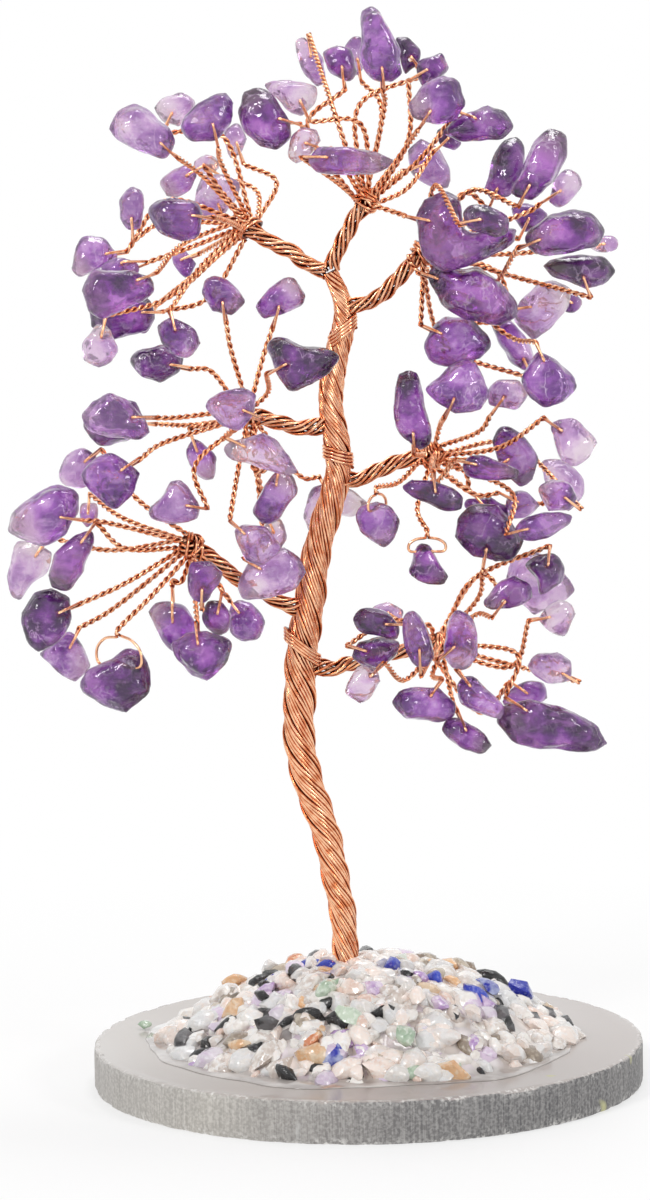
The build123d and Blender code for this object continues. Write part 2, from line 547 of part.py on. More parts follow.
def outline_rings(outline, middle, half_thick, scale, draw):
    """Rings of corners from the back to the front of a stone with that outline."""
    centre = np.mean(outline, axis=0)
    arms = [(ACROSS * x - ALOFT * y) * scale for x, y in np.array(outline[::-1]) - centre]
    rings = []
    levels = ((-FACE_LEVEL, FACE_SHARES), (0.0, (1, 1)), (FACE_LEVEL, FACE_SHARES))
    for level, shares in levels:
        face = middle - FORWARD * half_thick * level
        rings.append([face + arm * draw.uniform(*shares) for arm in arms])
    return rings


def corners(rings):
    return np.array([corner for ring in rings for corner in ring])


placed = Occupied()

# Saw-cut slice of banded stone, round, with broken edges top and bottom
with BuildPart() as stone_slab:
    with BuildSketch(Plane.XY):
        Circle(SLAB_DIAMETER / 2)
    extrude(amount=SLAB_THICKNESS)
    chamfer(stone_slab.edges().filter_by(GeomType.CIRCLE), length=SLAB_RIM)

# Trunk: a bundle of copper wires laid up with a twist, its wires splayed as roots below
TRUNK_SIDES = 10
trunk_spots = [spot(column, row) for column, row, _ in TRUNK_SPOT_SHARES]
trunk_shares = [share for _, _, share in TRUNK_SPOT_SHARES]
foot = np.array([trunk_spots[0][0] * 0.9, 0.0, SLAB_THICKNESS + ROOT_DIAMETER])
trunk_line = smooth([foot] + trunk_spots, TRUNK_LAY / 6)
heights = [point[2] for point in trunk_spots]
trunk_widths = [
    TRUNK_DIAMETER * np.interp(point[2], heights, trunk_shares) for point in trunk_line
]
trunk_rings = route_rings(trunk_line, trunk_widths, TRUNK_SIDES, -2 * pi / TRUNK_LAY, 0.16)
for low, high in zip(trunk_rings, trunk_rings[1:]):
    placed.add(low + high)

ROOTS = 6
ROOT_REACH_SHARE = 0.55
root_rings = []
for i in range(ROOTS):
    around = 2 * pi * (i + 0.3) / ROOTS
    out = np.array([cos(around), sin(around), 0.0])
    reach = MOUND_RADIUS * ROOT_REACH_SHARE * (0.8 + 0.2 * sin(3 * i))
    floor = np.array([0.0, 0.0, SLAB_THICKNESS + ROOT_DIAMETER * 0.65])
    top = foot + np.array([0.0, 0.0, TRUNK_DIAMETER * 0.5]) + out * TRUNK_DIAMETER * 0.15
    bend = np.array([foot[0], foot[1], 0.0]) + floor + out * TRUNK_DIAMETER * 0.8
    tip = np.array([foot[0], foot[1], 0.0]) + floor + out * reach
    root_rings.append(route_rings([top, bend, tip], [ROOT_DIAMETER] * 2 + [ROOT_DIAMETER * 0.6]))
    placed.add([top, bend], ROOT_DIAMETER / 2)
    placed.add([bend, tip], ROOT_DIAMETER / 2)

with BuildPart() as trunk:
    add(skin(trunk_rings))
    add([skin(rings) for rings in root_rings])
trunk.part.label = "trunk"

# Bindings: a wire wound round the trunk beside a branch, turn beside turn
STEPS_PER_TURN = 10
binding_rings = []
trunk_heights = [point[2] for point in trunk_line]
for upper_row, lower_row in BINDING_ROWS:
    top, bottom = (spot(PICTURE_MIDDLE[0], row)[2] for row in (upper_row, lower_row))
    count = ceil((top - bottom) / BINDING_PITCH * STEPS_PER_TURN)
    winding = []
    for i in range(count + 1):
        height = bottom + BINDING_PITCH * i / STEPS_PER_TURN
        around = 2 * pi * i / STEPS_PER_TURN
        centre = [np.interp(height, trunk_heights, [point[k] for point in trunk_line])
                  for k in (0, 1)]
        bundle = TRUNK_DIAMETER * np.interp(height, heights, trunk_shares)
        reach = bundle / 2 + BINDING_GAP + WIRE_DIAMETER / 2
        winding.append(np.array([centre[0] + reach * cos(around), centre[1] + reach * sin(around),
                                 height]))
    binding_rings.append(route_rings(winding, [WIRE_DIAMETER] * len(winding)))
    for near, far in zip(winding, winding[1:]):
        placed.add([near, far], WIRE_DIAMETER / 2)

with BuildPart() as wire_bindings:
    add([skin(rings) for rings in binding_rings])
wire_bindings.part.label = "wire_bindings"


# Branches: smaller cords of the same wires, each ending in a knot where its twigs part
branch_rings, knots = {}, {}
for name, (spots, knot_depth_share) in BRANCH_SPOTS.items():
    depths = [knot_depth_share * CANOPY_DEPTH * i / (len(spots) - 1) for i in range(len(spots))]
    line = smooth([spot(*place, depth) for place, depth in zip(spots, depths)], CORD_LAY / 4)
    knot = line[-1]
    onward = unit(knot - line[-2])
    knots[name] = knot
    last = [knot + onward * KNOT_DIAMETER * share for share in (-0.4, -0.2, 0.2, 0.42)]
    widths = [CORD_DIAMETER] * (len(line) - 1)
    widths += [KNOT_DIAMETER * share for share in (0.55, 0.95, 0.95, 0.5)]
    branch_rings[name] = route_rings(line[:-1] + last, widths, 6, -2 * pi / CORD_LAY, 0.12)
    for near, far in zip(branch_rings[name], branch_rings[name][1:]):
        placed.add(near + far)


def trunk_stretch(middle, length):
    """The trunk alone over a length of it, for what is cut to fit it."""
    near = [i for i, point in enumerate(trunk_line) if abs(point[2] - middle[2]) < length / 2]
    return skin(trunk_rings[near[0]:near[-1] + 1])


branches = {}
for name, rings in branch_rings.items():
    start = np.mean(rings[0], axis=0)
    with BuildPart() as branch:
        add(skin(rings))
        add(trunk_stretch(start, TRUNK_DIAMETER * 6), mode=Mode.SUBTRACT)
        if name == "upper_left":
            add(branches["crown"], mode=Mode.SUBTRACT)
    branches[name] = branch.part.solids().sort_by(SortBy.VOLUME)[-1]
    branches[name].label = f"{name}_branch"


def chip_axes(turned, draw):
    """Length, width and thickness directions of a chip as the picture shows it."""
    along = ACROSS * cos(turned) + ALOFT * sin(turned)
    beside = ALOFT * cos(turned) - ACROSS * sin(turned)
    lean = radians(draw.uniform(-16, 16))
    face = -FORWARD * cos(lean) + along * sin(lean)
    along = along * cos(lean) + FORWARD * sin(lean)
    roll_over = radians(draw.uniform(-20, 20))
    return (along, beside * cos(roll_over) + face * sin(roll_over),
            face * cos(roll_over) - beside * sin(roll_over))


def chip_at(row, depth, seed, outline=None):
    """One chip's rings of corners, middle, axes and half sizes at that depth."""
    draw = Random(seed)
    column, line, length, width, turned, _, thin_end, _, _ = row
    if outline:
        column, line = np.mean(outline, axis=0)
    middle = spot(column, line, depth)
    scale = PIXEL * np.dot(middle - EYE, FORWARD) / VIEW_DISTANCE
    thick = sqrt(length * width) * draw.uniform(0.5, 0.72)
    half_sizes = np.array([length, width, thick]) * scale / 2
    if outline:
        rings = outline_rings(outline, middle, half_sizes[2], scale, draw)
        return rings, middle, (ACROSS, ALOFT, -FORWARD), half_sizes
    axes = chip_axes(radians(turned), draw)
    sides = 6 if length > 56 else 5
    levels = (-0.96, -0.45, 0.4, 0.96) if length > 66 else (-0.93, 0.0, 0.93)
    rings = stone_rings(middle, half_sizes, axes, thin_end, levels, sides, draw)
    return rings, middle, axes, half_sizes


UP, DEEPER = np.array([0.0, 0.0, 1.0]), np.array([0.0, 1.0, 0.0])
DROP_THICKNESS_SHARE = 0.54


def hang(name):
    """A hanging chip's rings of corners, its pin's place and direction, and its reach there."""
    _, column, row, share, _, turn, outline = HANGING_SHARES[name]
    pin = spot(column, row, share * CANOPY_DEPTH)
    scale = PIXEL * np.dot(pin - EYE, FORWARD) / VIEW_DISTANCE
    middle = spot(*np.mean(outline, axis=0), pin[1])
    half_thick = np.ptp(outline, axis=0).mean() * scale * DROP_THICKNESS_SHARE / 2
    rings = outline_rings(outline, middle, half_thick, scale, Random(name))
    heavy = skin(rings).center(CenterOf.MASS)
    shift = np.array([pin[0] - heavy.X, pin[1] - heavy.Y, 0.0])
    rings = [[corner + shift for corner in ring] for ring in rings]
    across = LEVEL * cos(radians(turn)) + DEEPER * sin(radians(turn))
    low, high = placed.reach(corners(rings), 0)
    return rings, pin, across, max(way_out(pin, way, low, high) for way in (across, -across))


def swung(points, pin, across, angle):
    """The points turned by an angle in degrees about the pin."""
    arms = np.asarray(points) - pin
    turned = radians(angle)
    return pin + arms * cos(turned) + np.cross(across, arms) * sin(turned) \
        + np.outer(arms @ across, across) * (1 - cos(turned))


# Chips that hang free are placed first, with the space that they swing through. Each
# hangs on a straight pin between the two legs of a stirrup of wire, tall enough to clear it
SWING_STEPS = 10
SHOULDER_SHARE = 0.55
drops, stirrups = {}, {}
for name, (_, _, row, _, _, _, outline) in HANGING_SHARES.items():
    above = row - min(line for _, line in outline)
    rings, pin, across, reach = hang(name)
    drops[name] = (rings, pin, across)
    low, high = SWING_LIMITS[name]
    swept = Occupied()
    for step in range(SWING_STEPS + 1):
        angle = low + (high - low) * step / SWING_STEPS
        swept.add(swung(corners(rings), pin, across, angle))
        placed.add(swung(corners(rings), pin, across, angle))
    stand = reach + SWING_SPACE + WIRE_DIAMETER / 2
    rise = above * PIXEL + SWING_SPACE + WIRE_DIAMETER / 2
    while True:
        apex = pin + UP * rise
        legs = []
        for side in (-1, 1):
            pin_end = pin + across * stand * side
            shoulder = pin_end + UP * rise * SHOULDER_SHARE
            legs.append([apex, shoulder, pin_end - UP * WIRE_DIAMETER * 0.3])
        clear = min(swept.gap(leg[:2], LEG_DIAMETER / 2) for leg in legs)
        if clear >= LEG_CLEARANCE:
            break
        rise += LEG_CLEARANCE - clear
    for leg in legs:
        placed.add(leg[:2], WIRE_DIAMETER / 2)
        placed.add(leg[1:], WIRE_DIAMETER / 2)
    stirrups[name] = (apex, legs, stand)

# Each other chip lies at its own depth, moved back until it clears those before it
DEPTH_SHIFT_SHARE = 0.1
DEPTH_STEP_SHARE = 0.02
chips = []
for spray, rows in CHIP_SHARES.items():
    for number, row in enumerate(rows):
        outline = OUTLINE_SPOTS[spray].get(number)
        for step in range(200):
            shift = (step + 1) // 2 * (1 if step % 2 else -1) if row[5] > 0.1 else step
            depth = (row[5] + DEPTH_SHIFT_SHARE + shift * DEPTH_STEP_SHARE) * CANOPY_DEPTH
            rings, middle, axes, half_sizes = chip_at(row, depth, f"{spray}{number}", outline)
            if placed.gap(corners(rings)) > CHIP_GAP:
                break
        placed.add(corners(rings))
        chips.append((spray, row, rings, middle, axes, half_sizes))

# Twigs: twisted pairs of wire that run from a knot to a loop through one chip's hole
strands = Occupied()
KNOT_STARTS = sphere_directions(52)
free_starts = {name: list(KNOT_STARTS) for name in knots}
ENTRY_TURNS = (0, 22, -22, 45, -45, 68, -68, 95, -95, 125, -125, 160)
DETOUR_SHARES = (0, 0.08, -0.08, 0.16, -0.16, 0.25, -0.25, 0.36, -0.36, 0.5, -0.5)
SIDESTEP_SHARES = (0, 0.08, -0.08, 0.16, -0.16, 0.26, -0.26)
STARTS_TRIED = 6
HOLE_SHARES = (0.8, 0.7, 0.6, 0.5, 0.4, 0.3, 0.2, 0.1)


def loop_route(rings, middle, axes, toward, entry_turn):
    """The wire's way from the twig's tip through a hole near the chip's edge and back."""
    low, high = placed.reach(corners(rings), 0)
    flat = np.array([np.dot(toward - middle, axes[0]), np.dot(toward - middle, axes[1])])
    angle = np.arctan2(flat[1], flat[0]) + radians(entry_turn)
    out = axes[0] * cos(angle) + axes[1] * sin(angle)
    aside, face = axes[1] * cos(angle) - axes[0] * sin(angle), axes[2]
    edge = way_out(middle, out, low, high)
    hole, widest = middle, 0.0
    for share in HOLE_SHARES:
        place = middle + out * edge * share
        wall = min(way_out(place, way, low, high) for way in (out, aside, -aside))
        if wall > widest:
            hole, widest = place, wall
        if wall > HOLE_MARGIN:
            break
    stand = LOOP_STAND + WIRE_DIAMETER / 2
    tip = middle + out * (edge + 2 * stand)
    back = tip - face * (TWIG_WIDTH + WIRE_DIAMETER) * 0.55
    through = [hole + way * (way_out(hole, way, low, high) + stand) for way in (face, -face)]
    return [tip, *through, back], hole, out, face


def room(points, width):
    """The least clear space along a run of wire."""
    return min(placed.gap([a, b], width / 2) for a, b in zip(points, points[1:]))


def bends(knot, tip, via):
    """Places for a twig's one bend, the ones nearest to the picture's first."""
    bases = [knot + (tip - knot) * 0.5]
    if via:
        share = min(np.linalg.norm(spot(*via) - knot) / np.linalg.norm(tip - knot), 0.8)
        bases.insert(0, spot(*via, knot[1] + (tip[1] - knot[1]) * share))
    beside = unit(np.cross(FORWARD, tip - knot))
    for base in bases:
        for detour in DETOUR_SHARES:
            for sidestep in SIDESTEP_SHARES:
                yield base + (FORWARD * detour + beside * sidestep) * CANOPY_DEPTH


def twig_route(spray, via, loops):
    """The first clear way from the spray's knot to one of the loops, or the clearest."""
    knot, starts = knots[spray], free_starts[spray]
    best, best_room = None, -VIEW_DISTANCE
    for loop in loops:
        loop_room = min([room(run, WIRE_DIAMETER) for run in (loop[:2], loop[2:]) if run[1:]],
                        default=TWIG_GAP)
        if loop_room <= 0 and best is not None:
            continue
        for bend in bends(knot, loop[0], via):
            last_room = room([bend, loop[0]], TWIG_WIDTH)
            if min(last_room, loop_room) <= min(best_room, TWIG_GAP) \
                    or np.linalg.norm(bend - knot) < KNOT_DIAMETER * 0.6:
                continue
            heading = unit(bend - knot)
            for start in sorted(starts, key=lambda way: -np.dot(way, heading))[:STARTS_TRIED]:
                root = knot + start * KNOT_DIAMETER * 0.4
                leave = root + unit(bend - root) * KNOT_DIAMETER * 0.35
                if strands.gap([root, leave], TWIG_WIDTH / 2) <= 0:
                    continue
                clear = min(last_room, loop_room + TWIG_GAP, room([leave, bend], TWIG_WIDTH))
                if clear > best_room:
                    best, best_room = (start, [root, bend] + loop), clear
                if clear > TWIG_GAP:
                    break
            if best_room > TWIG_GAP:
                break
        if best_room > TWIG_GAP:
            break
    start, route = best
    free_starts[spray] = [other for other in starts if other is not start]
    stem = len(route) - len(loops[0]) + 1
    for i, (a, b) in enumerate(zip(route, route[1:])):
        placed.add([a, b], (TWIG_WIDTH if i < stem - 1 else WIRE_DIAMETER) / 2)
    strands.add([route[0], route[0] + unit(route[1] - route[0]) * KNOT_DIAMETER * 0.4],
                TWIG_WIDTH / 2)
    return route


# Hangers: a twig that ends in a stirrup, with the pin between its legs
PIN_SIDES = 8
hangers = {}
for name, (spray, _, _, _, via, _, _) in HANGING_SHARES.items():
    apex, legs, stand = stirrups[name]
    _, pin, across = drops[name]
    route = twig_route(spray, via, [[apex + UP * TWIG_WIDTH * 1.2]]) + [apex]
    with BuildPart() as hanger:
        add(skin(route_rings(route, [TWIG_WIDTH] * len(route))))
        add([skin(route_rings(leg, [LEG_DIAMETER] * len(leg))) for leg in legs])
        pin_ends = [pin - across * stand, pin + across * stand]
        add(skin(route_rings(pin_ends, [WIRE_DIAMETER] * 2, PIN_SIDES)))
    hanger.part.label = f"{name}_hanger"
    hangers[name] = hanger.part

# The hanging chips themselves, each bored for its pin
hanging_chips = {}
for name, (rings, pin, across) in drops.items():
    with BuildPart() as drop:
        add(skin(rings))
        with BuildSketch(Plane(origin=Vector(*pin), z_dir=Vector(*across))):
            Circle(WIRE_DIAMETER / 2 + PIN_CLEARANCE)
        extrude(amount=SLAB_DIAMETER, both=True, mode=Mode.SUBTRACT)
    drop.part.label = name
    hanging_chips[name] = drop.part

# Fixed chips, drilled through near the edge, and the twigs whose loops hold them
twigs = {spray: [] for spray in knots}
gems = {(spray, tone): [] for spray in knots for tone in (DEEP, VIOLET, PALE)}
for spray, row, rings, middle, axes, half_sizes in chips:
    via = row[8]
    toward = spot(*via, middle[1]) if via else knots[spray]
    choices = [loop_route(rings, middle, axes, toward, turn) for turn in ENTRY_TURNS]
    route = twig_route(spray, via, [choice[0] for choice in choices])
    _, hole, out, face = next(choice for choice in choices if choice[0][0] is route[2])
    widths = [TWIG_WIDTH] * 2 + [WIRE_DIAMETER * 1.1] + [WIRE_DIAMETER] * 3
    twigs[spray].append(skin(route_rings(route, widths)))
    with BuildPart() as chip:
        add(skin(rings))
        with BuildSketch(Plane(origin=Vector(*hole), x_dir=Vector(*out), z_dir=Vector(*face))):
            Rectangle(CHIP_HOLE, CHIP_HOLE)
        extrude(amount=max(half_sizes), both=True, mode=Mode.SUBTRACT)
    gems[spray, row[7]].append(chip.part.solid())

# Gravel: tumbled stones bedded in the top of the resin, and one that lies on the slab
heaped = Occupied()
heaped.low, heaped.high = placed.low, placed.high
rises, spreads = (np.array(values) for values in zip(*MOUND_SHARES))
stones = []
draw = Random("gravel")
wanted = len(MINERALS) * STONES_PER_MINERAL


def stone(place, upward, size, draw):
    """A flattish stone's rings of corners, lying square to a direction."""
    along = unit(np.cross(upward, LEVEL * draw.uniform(-1, 1) + DEEPER))
    half_sizes = size / 2 * draw.uniform(0.8, 1.05) * np.array(STONE_SHARES)
    axes = (along, np.cross(upward, along), upward)
    return stone_rings(place, half_sizes, axes, draw.uniform(-0.2, 0.3), (-0.85, 0.1, 0.85), 4, draw)


for i in range(wanted * 2):
    share = GRAVEL_REACH_SHARE * sqrt((i + 0.5) / wanted / GRAVEL_SPACING_SHARE)
    if len(stones) == wanted or share > GRAVEL_REACH_SHARE:
        break
    inner, rise, outer = np.interp(
        (share - SLOPE_STEP_SHARE, share, share + SLOPE_STEP_SHARE), spreads[::-1], rises[::-1])
    slope = (inner - outer) * MOUND_HEIGHT / (2 * SLOPE_STEP_SHARE * MOUND_RADIUS)
    out = LEVEL * cos(GOLDEN_TURN * i) + DEEPER * sin(GOLDEN_TURN * i)
    upward = unit(UP + out * slope)
    place = out * share * MOUND_RADIUS + UP * (SLAB_THICKNESS + rise * MOUND_HEIGHT)
    rings = stone(place, upward, GRAVEL_SIZE, draw)
    if heaped.gap(corners(rings)) > GRAVEL_GAP:
        heaped.add(corners(rings))
        stones.append(rings)

gravel = {mineral: [skin(rings) for rings in stones[i::len(MINERALS)]]
          for i, mineral in enumerate(MINERALS)}
lone_place = spot(*LONE_STONE, LONE_STONE_DEPTH_SHARE * CANOPY_DEPTH)
lone_rings = stone(lone_place, UP, LONE_STONE_SIZE, draw)
lift = SLAB_THICKNESS - min(corners(lone_rings)[:, 2])
gravel["aventurine"].append(skin([[corner + UP * lift for corner in ring] for ring in lone_rings]))

# Clear resin, poured over the roots and round the gravel
MOUND_SIDES = 16
mound_rings = []
for rise, spread in MOUND_SHARES:
    height = SLAB_THICKNESS + MOUND_HEIGHT * rise
    mound_rings.append([
        np.array([cos(around), sin(around), 0.0]) * MOUND_RADIUS * spread * draw.uniform(0.95, 1)
        + UP * height
        for around in np.linspace(0, 2 * pi, MOUND_SIDES, endpoint=False)
    ])
with BuildPart() as resin_mound:
    add(skin(mound_rings))
    add(trunk_stretch(foot, MOUND_HEIGHT * 3), mode=Mode.SUBTRACT)
    add([skin(rings) for rings in root_rings], mode=Mode.SUBTRACT)
    add([skin(rings) for rings in stones], mode=Mode.SUBTRACT)
resin_mound.part.label = "resin_mound"
stone_slab.part.label = "stone_slab"

# Every finished piece, and every handful of like pieces
for piece in (stone_slab, resin_mound, trunk, wire_bindings):
    export_step(piece.part, f"parts/{piece.part.label}.step")
for piece in [*branches.values(), *hangers.values(), *hanging_chips.values()]:
    export_step(piece, f"parts/{piece.label}.step")
handfuls = {f"{spray}_twigs": solids for spray, solids in twigs.items()}
handfuls |= {f"{spray}_{tone}_chips": solids for (spray, tone), solids in gems.items() if solids}
handfuls |= {f"{mineral}_gravel": solids for mineral, solids in gravel.items()}
for name, solids in handfuls.items():
    handful = Compound(label=name, children=solids)
    export_step(handful, f"parts/{name}.step")
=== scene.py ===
import json
from math import cos, hypot, pi, radians, sin, sqrt
from random import Random

import bmesh
import bpy
from mathutils import Matrix, Vector, kdtree, noise

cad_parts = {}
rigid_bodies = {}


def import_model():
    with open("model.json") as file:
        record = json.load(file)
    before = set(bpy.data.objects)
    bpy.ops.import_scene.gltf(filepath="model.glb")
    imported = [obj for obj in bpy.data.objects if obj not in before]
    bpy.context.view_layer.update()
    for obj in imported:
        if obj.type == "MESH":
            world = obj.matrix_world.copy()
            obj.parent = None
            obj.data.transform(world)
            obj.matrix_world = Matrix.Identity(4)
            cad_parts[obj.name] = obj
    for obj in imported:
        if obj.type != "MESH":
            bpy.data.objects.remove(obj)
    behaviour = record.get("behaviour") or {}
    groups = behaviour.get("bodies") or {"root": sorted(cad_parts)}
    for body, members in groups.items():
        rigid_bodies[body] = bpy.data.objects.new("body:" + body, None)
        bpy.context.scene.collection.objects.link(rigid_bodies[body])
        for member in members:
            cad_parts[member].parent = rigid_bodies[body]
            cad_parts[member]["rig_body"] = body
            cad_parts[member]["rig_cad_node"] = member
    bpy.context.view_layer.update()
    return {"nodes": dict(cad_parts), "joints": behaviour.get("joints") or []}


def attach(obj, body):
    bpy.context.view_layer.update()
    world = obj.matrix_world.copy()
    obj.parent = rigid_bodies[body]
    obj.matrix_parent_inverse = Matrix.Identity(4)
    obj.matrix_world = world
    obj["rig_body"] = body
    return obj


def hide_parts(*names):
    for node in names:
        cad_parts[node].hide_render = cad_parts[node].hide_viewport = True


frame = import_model()
bpy.ops.object.select_all(action="DESELECT")

# ---- Stone slab: a saw-cut slice of banded grey stone, 80 mm across and 6.2 mm thick.
# Its top is polished, its side keeps the upright marks of the drill that cut it free, and
# its rims are broken in small white chips. The tree's resin is poured straight onto it.
slab_radius, slab_thickness, slab_rim = 0.04, 0.0062, 0.00045


def paint(red, green, blue):
    """A colour as a screen shows it, from 0 to 255, as the light it stands for."""
    levels = [value / 255 for value in (red, green, blue)]
    return (*[v / 12.92 if v <= 0.04045 else ((v + 0.055) / 1.055) ** 2.4 for v in levels], 1)


def finish_of(name, **values):
    """A new material with its shader's plain values, its node tree and that shader."""
    finish = bpy.data.materials.new(name)
    finish.use_nodes = True
    shader = finish.node_tree.nodes["Principled BSDF"]
    for socket, value in values.items():
        shader.inputs[socket.replace("_", " ")].default_value = value
    return finish, finish.node_tree, shader


def node(tree, kind, inputs=(), **settings):
    """Adds a shader node, with values or links on its inputs."""
    added = tree.nodes.new(f"ShaderNode{kind}")
    for name, value in settings.items():
        setattr(added, name, value)
    for name, value in dict(inputs).items():
        if isinstance(value, bpy.types.NodeSocket):
            tree.links.new(value, added.inputs[name])
        else:
            added.inputs[name].default_value = value
    return added


def grain(tree, scale, detail=2.0, stretch=(1, 1, 1)):
    """Cloudy variation through the piece, with so many clouds to the metre."""
    place = node(tree, "TexCoord").outputs["Object"]
    place = node(tree, "Mapping", {"Vector": place, "Scale": stretch}).outputs["Vector"]
    clouds = node(tree, "TexNoise", {"Vector": place, "Scale": scale, "Detail": detail})
    return clouds.outputs["Fac"]


def graded(tree, factor, *stops):
    """Colours along a scale from 0 to 1."""
    ramp = node(tree, "ValToRGB", {"Fac": factor})
    marks = ramp.color_ramp.elements
    while len(marks) < len(stops):
        marks.new(0.5)
    for mark, (place, colour) in zip(marks, stops):
        mark.position, mark.color = place, colour
    return ramp.outputs["Color"]


def share_of(tree, factor, begin, full, least=0.0, most=1.0):
    """A share that climbs evenly between two places on a scale from 0 to 1."""
    return graded(tree, factor, (begin, (least,) * 3 + (1,)), (full, (most,) * 3 + (1,)))


def mixed(tree, factor, one, other):
    """One colour laid over another."""
    return node(tree, "Mix", {0: factor, 6: one, 7: other}, data_type="RGBA").outputs[2]


def reckon(tree, how, one, other=0.0):
    """Arithmetic between two values."""
    return node(tree, "Math", {0: one, 1: other}, operation=how).outputs[0]


def relief(tree, height, strength, depth, under=None, **settings):
    """Fine relief for a material, up to so deep, over other relief where there is some."""
    inputs = {"Height": height, "Strength": strength, "Distance": depth}
    if under is not None:
        inputs["Normal"] = under
    return node(tree, "Bump", inputs, **settings).outputs["Normal"]


def dressed(piece, finish, slot, body, *nodes):
    """Gives a finished piece its material and body, and hides the CAD nodes it stands for. Its
    slot is not used.
    """
    piece.data.materials.clear()
    piece.data.materials.append(finish)
    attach(piece, body)
    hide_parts(*nodes)


def uneven(place, *waves, shift=Vector()):
    """Cloudy unevenness at a place, as the sum of waves: how many to a unit, and how high."""
    return sum(noise.noise(place * count + shift) * height for count, height in waves)


def pick(kind, wanted):
    """Selects those edges or faces of the slab that are wanted, and nothing else."""
    bpy.ops.mesh.select_all(action="DESELECT")
    shape = bmesh.from_edit_mesh(slab.data)
    for bit in getattr(shape, kind):
        bit.select = wanted(bit)
    bmesh.update_edit_mesh(slab.data)


bpy.ops.mesh.primitive_cylinder_add(vertices=360, radius=slab_radius, depth=slab_thickness,
                                    location=(0, 0, slab_thickness / 2))
slab = bpy.context.object
slab.name = "sawn_slab"
bpy.ops.object.transform_apply(location=True)
bpy.ops.object.mode_set(mode="EDIT")
pick("edges", lambda edge: edge.verts[0].co.z == edge.verts[1].co.z)
bpy.ops.mesh.bevel(offset=slab_rim, segments=2)
pick("edges", lambda edge: abs(edge.verts[0].co.z - edge.verts[1].co.z) > slab_thickness / 2)
bpy.ops.mesh.subdivide(number_cuts=5)
pick("faces", lambda face: len(face.verts) > 4)
bpy.ops.mesh.inset(thickness=slab_rim)
bpy.ops.object.mode_set(mode="OBJECT")
# In widths of the rim: how far in its roughness starts, how far down the side the chips reach,
# how deep they go, how deep the drill's ripples are and how far the top sags at a chip.
rough_zone, chip_reach, chip_depth, ripple_depth, chip_sag = 1.6, 2.2, 1.1, 0.12, 0.5
broken = slab.data.attributes.new("broken", "FLOAT", "POINT")
for corner in slab.data.vertices:
    out = hypot(corner.co.x, corner.co.y)
    level = min(corner.co.z, slab_thickness - corner.co.z)
    if out > slab_radius - slab_rim * rough_zone:
        place = Vector((corner.co.x, corner.co.y, corner.co.z * 3))
        bite = max(0, uneven(place, (420, 1), (1100, 0.5)) + 0.1)
        ripple = 0.5 + uneven(Vector((corner.co.x, corner.co.y, 0)), (260, 0.5))
        near_rim = max(0, 1 - level / (slab_rim * chip_reach))
        inward = near_rim * bite * slab_rim * chip_depth + ripple * slab_rim * ripple_depth
        corner.co.x *= 1 - inward / out
        corner.co.y *= 1 - inward / out
        if out < slab_radius - slab_rim * 0.2 and corner.co.z > slab_thickness / 2:
            corner.co.z -= bite * slab_rim * chip_sag
        broken.data[corner.index].value = near_rim * min(1, 0.35 + bite * 1.6)
bpy.ops.object.shade_smooth_by_angle(angle=radians(38))

slab_finish, tree, shader = finish_of("sawn grey stone", Specular_IOR_Level=0.5)
facing = node(tree, "SeparateXYZ", {0: node(tree, "NewGeometry").outputs["Normal"]})
top_share = share_of(tree, facing.outputs["Z"], 0.45, 0.9)
# Top and side darken from left (-x) to right (+x), the side much more, with the banding wandering
# through.
across = node(tree, "SeparateXYZ", {0: node(tree, "TexCoord").outputs["Object"]}).outputs["X"]
across = reckon(tree, "ADD", reckon(tree, "MULTIPLY", across, 1 / (2 * slab_radius)), 0.5)
banding = grain(tree, 26, 3, (1, 0.5, 1))
drifted = reckon(tree, "ADD", across, reckon(tree, "MULTIPLY", banding, 0.5))
top_colour = graded(tree, drifted, (0.2, paint(206, 202, 198)), (0.55, paint(186, 177, 171)),
                    (0.95, paint(170, 160, 156)), (1.0, paint(186, 178, 174)))
side_colour = graded(tree, drifted, (0.2, paint(178, 174, 170)), (0.42, paint(196, 191, 183)),
                     (0.7, paint(146, 142, 140)), (1.0, paint(98, 97, 99)))
marks = grain(tree, 60, 4, (70, 70, 1.6))
side_light = mixed(tree, 0.16, side_colour, graded(tree, marks, (0.38, paint(70, 68, 68)),
                                                   (0.64, paint(226, 222, 216))))
specks_and_glints = grain(tree, 2300, 2)
side_light = mixed(tree, 0.14, side_light, graded(tree, specks_and_glints, (0.42, paint(60, 58, 58)),
                                                  (0.6, paint(236, 234, 230))))
scraped = share_of(tree, grain(tree, 210, 4, (2.6, 2.6, 0.5)), 0.66, 0.72, most=0.6)
side_light = mixed(tree, scraped, side_light, paint(206, 206, 204))
stone_colour = mixed(tree, top_share, side_light, top_colour)
rim_share = node(tree, "Attribute", attribute_name="broken").outputs["Fac"]
flecks = share_of(tree, grain(tree, 1700, 3), 0.5, 0.62)
fleck_share = reckon(tree, "MULTIPLY", rim_share, flecks)
stone_colour = mixed(tree, fleck_share, stone_colour, paint(232, 230, 226))
moss = share_of(tree, grain(tree, 170, 1), 0.73, 0.78)
moss_share = reckon(tree, "MULTIPLY", moss, share_of(tree, across, 0.7, 0.8))
stone_colour = mixed(tree, moss_share, stone_colour, paint(190, 188, 140))
tree.links.new(stone_colour, shader.inputs["Base Color"])
side_roughness, top_roughness = (0.62,) * 3 + (1,), (0.16,) * 3 + (1,)
tree.links.new(mixed(tree, top_share, side_roughness, top_roughness), shader.inputs["Roughness"])
sawn = relief(tree, grain(tree, 900, 3), 0.12, 0.0003, relief(tree, marks, 0.3, 0.0002))
polished = relief(tree, grain(tree, 900, 3), 0.02, 0.0002)
tree.links.new(mixed(tree, top_share, sawn, polished), shader.inputs["Normal"])
dressed(slab, slab_finish, "slab_stone", "tree", "stone_slab")

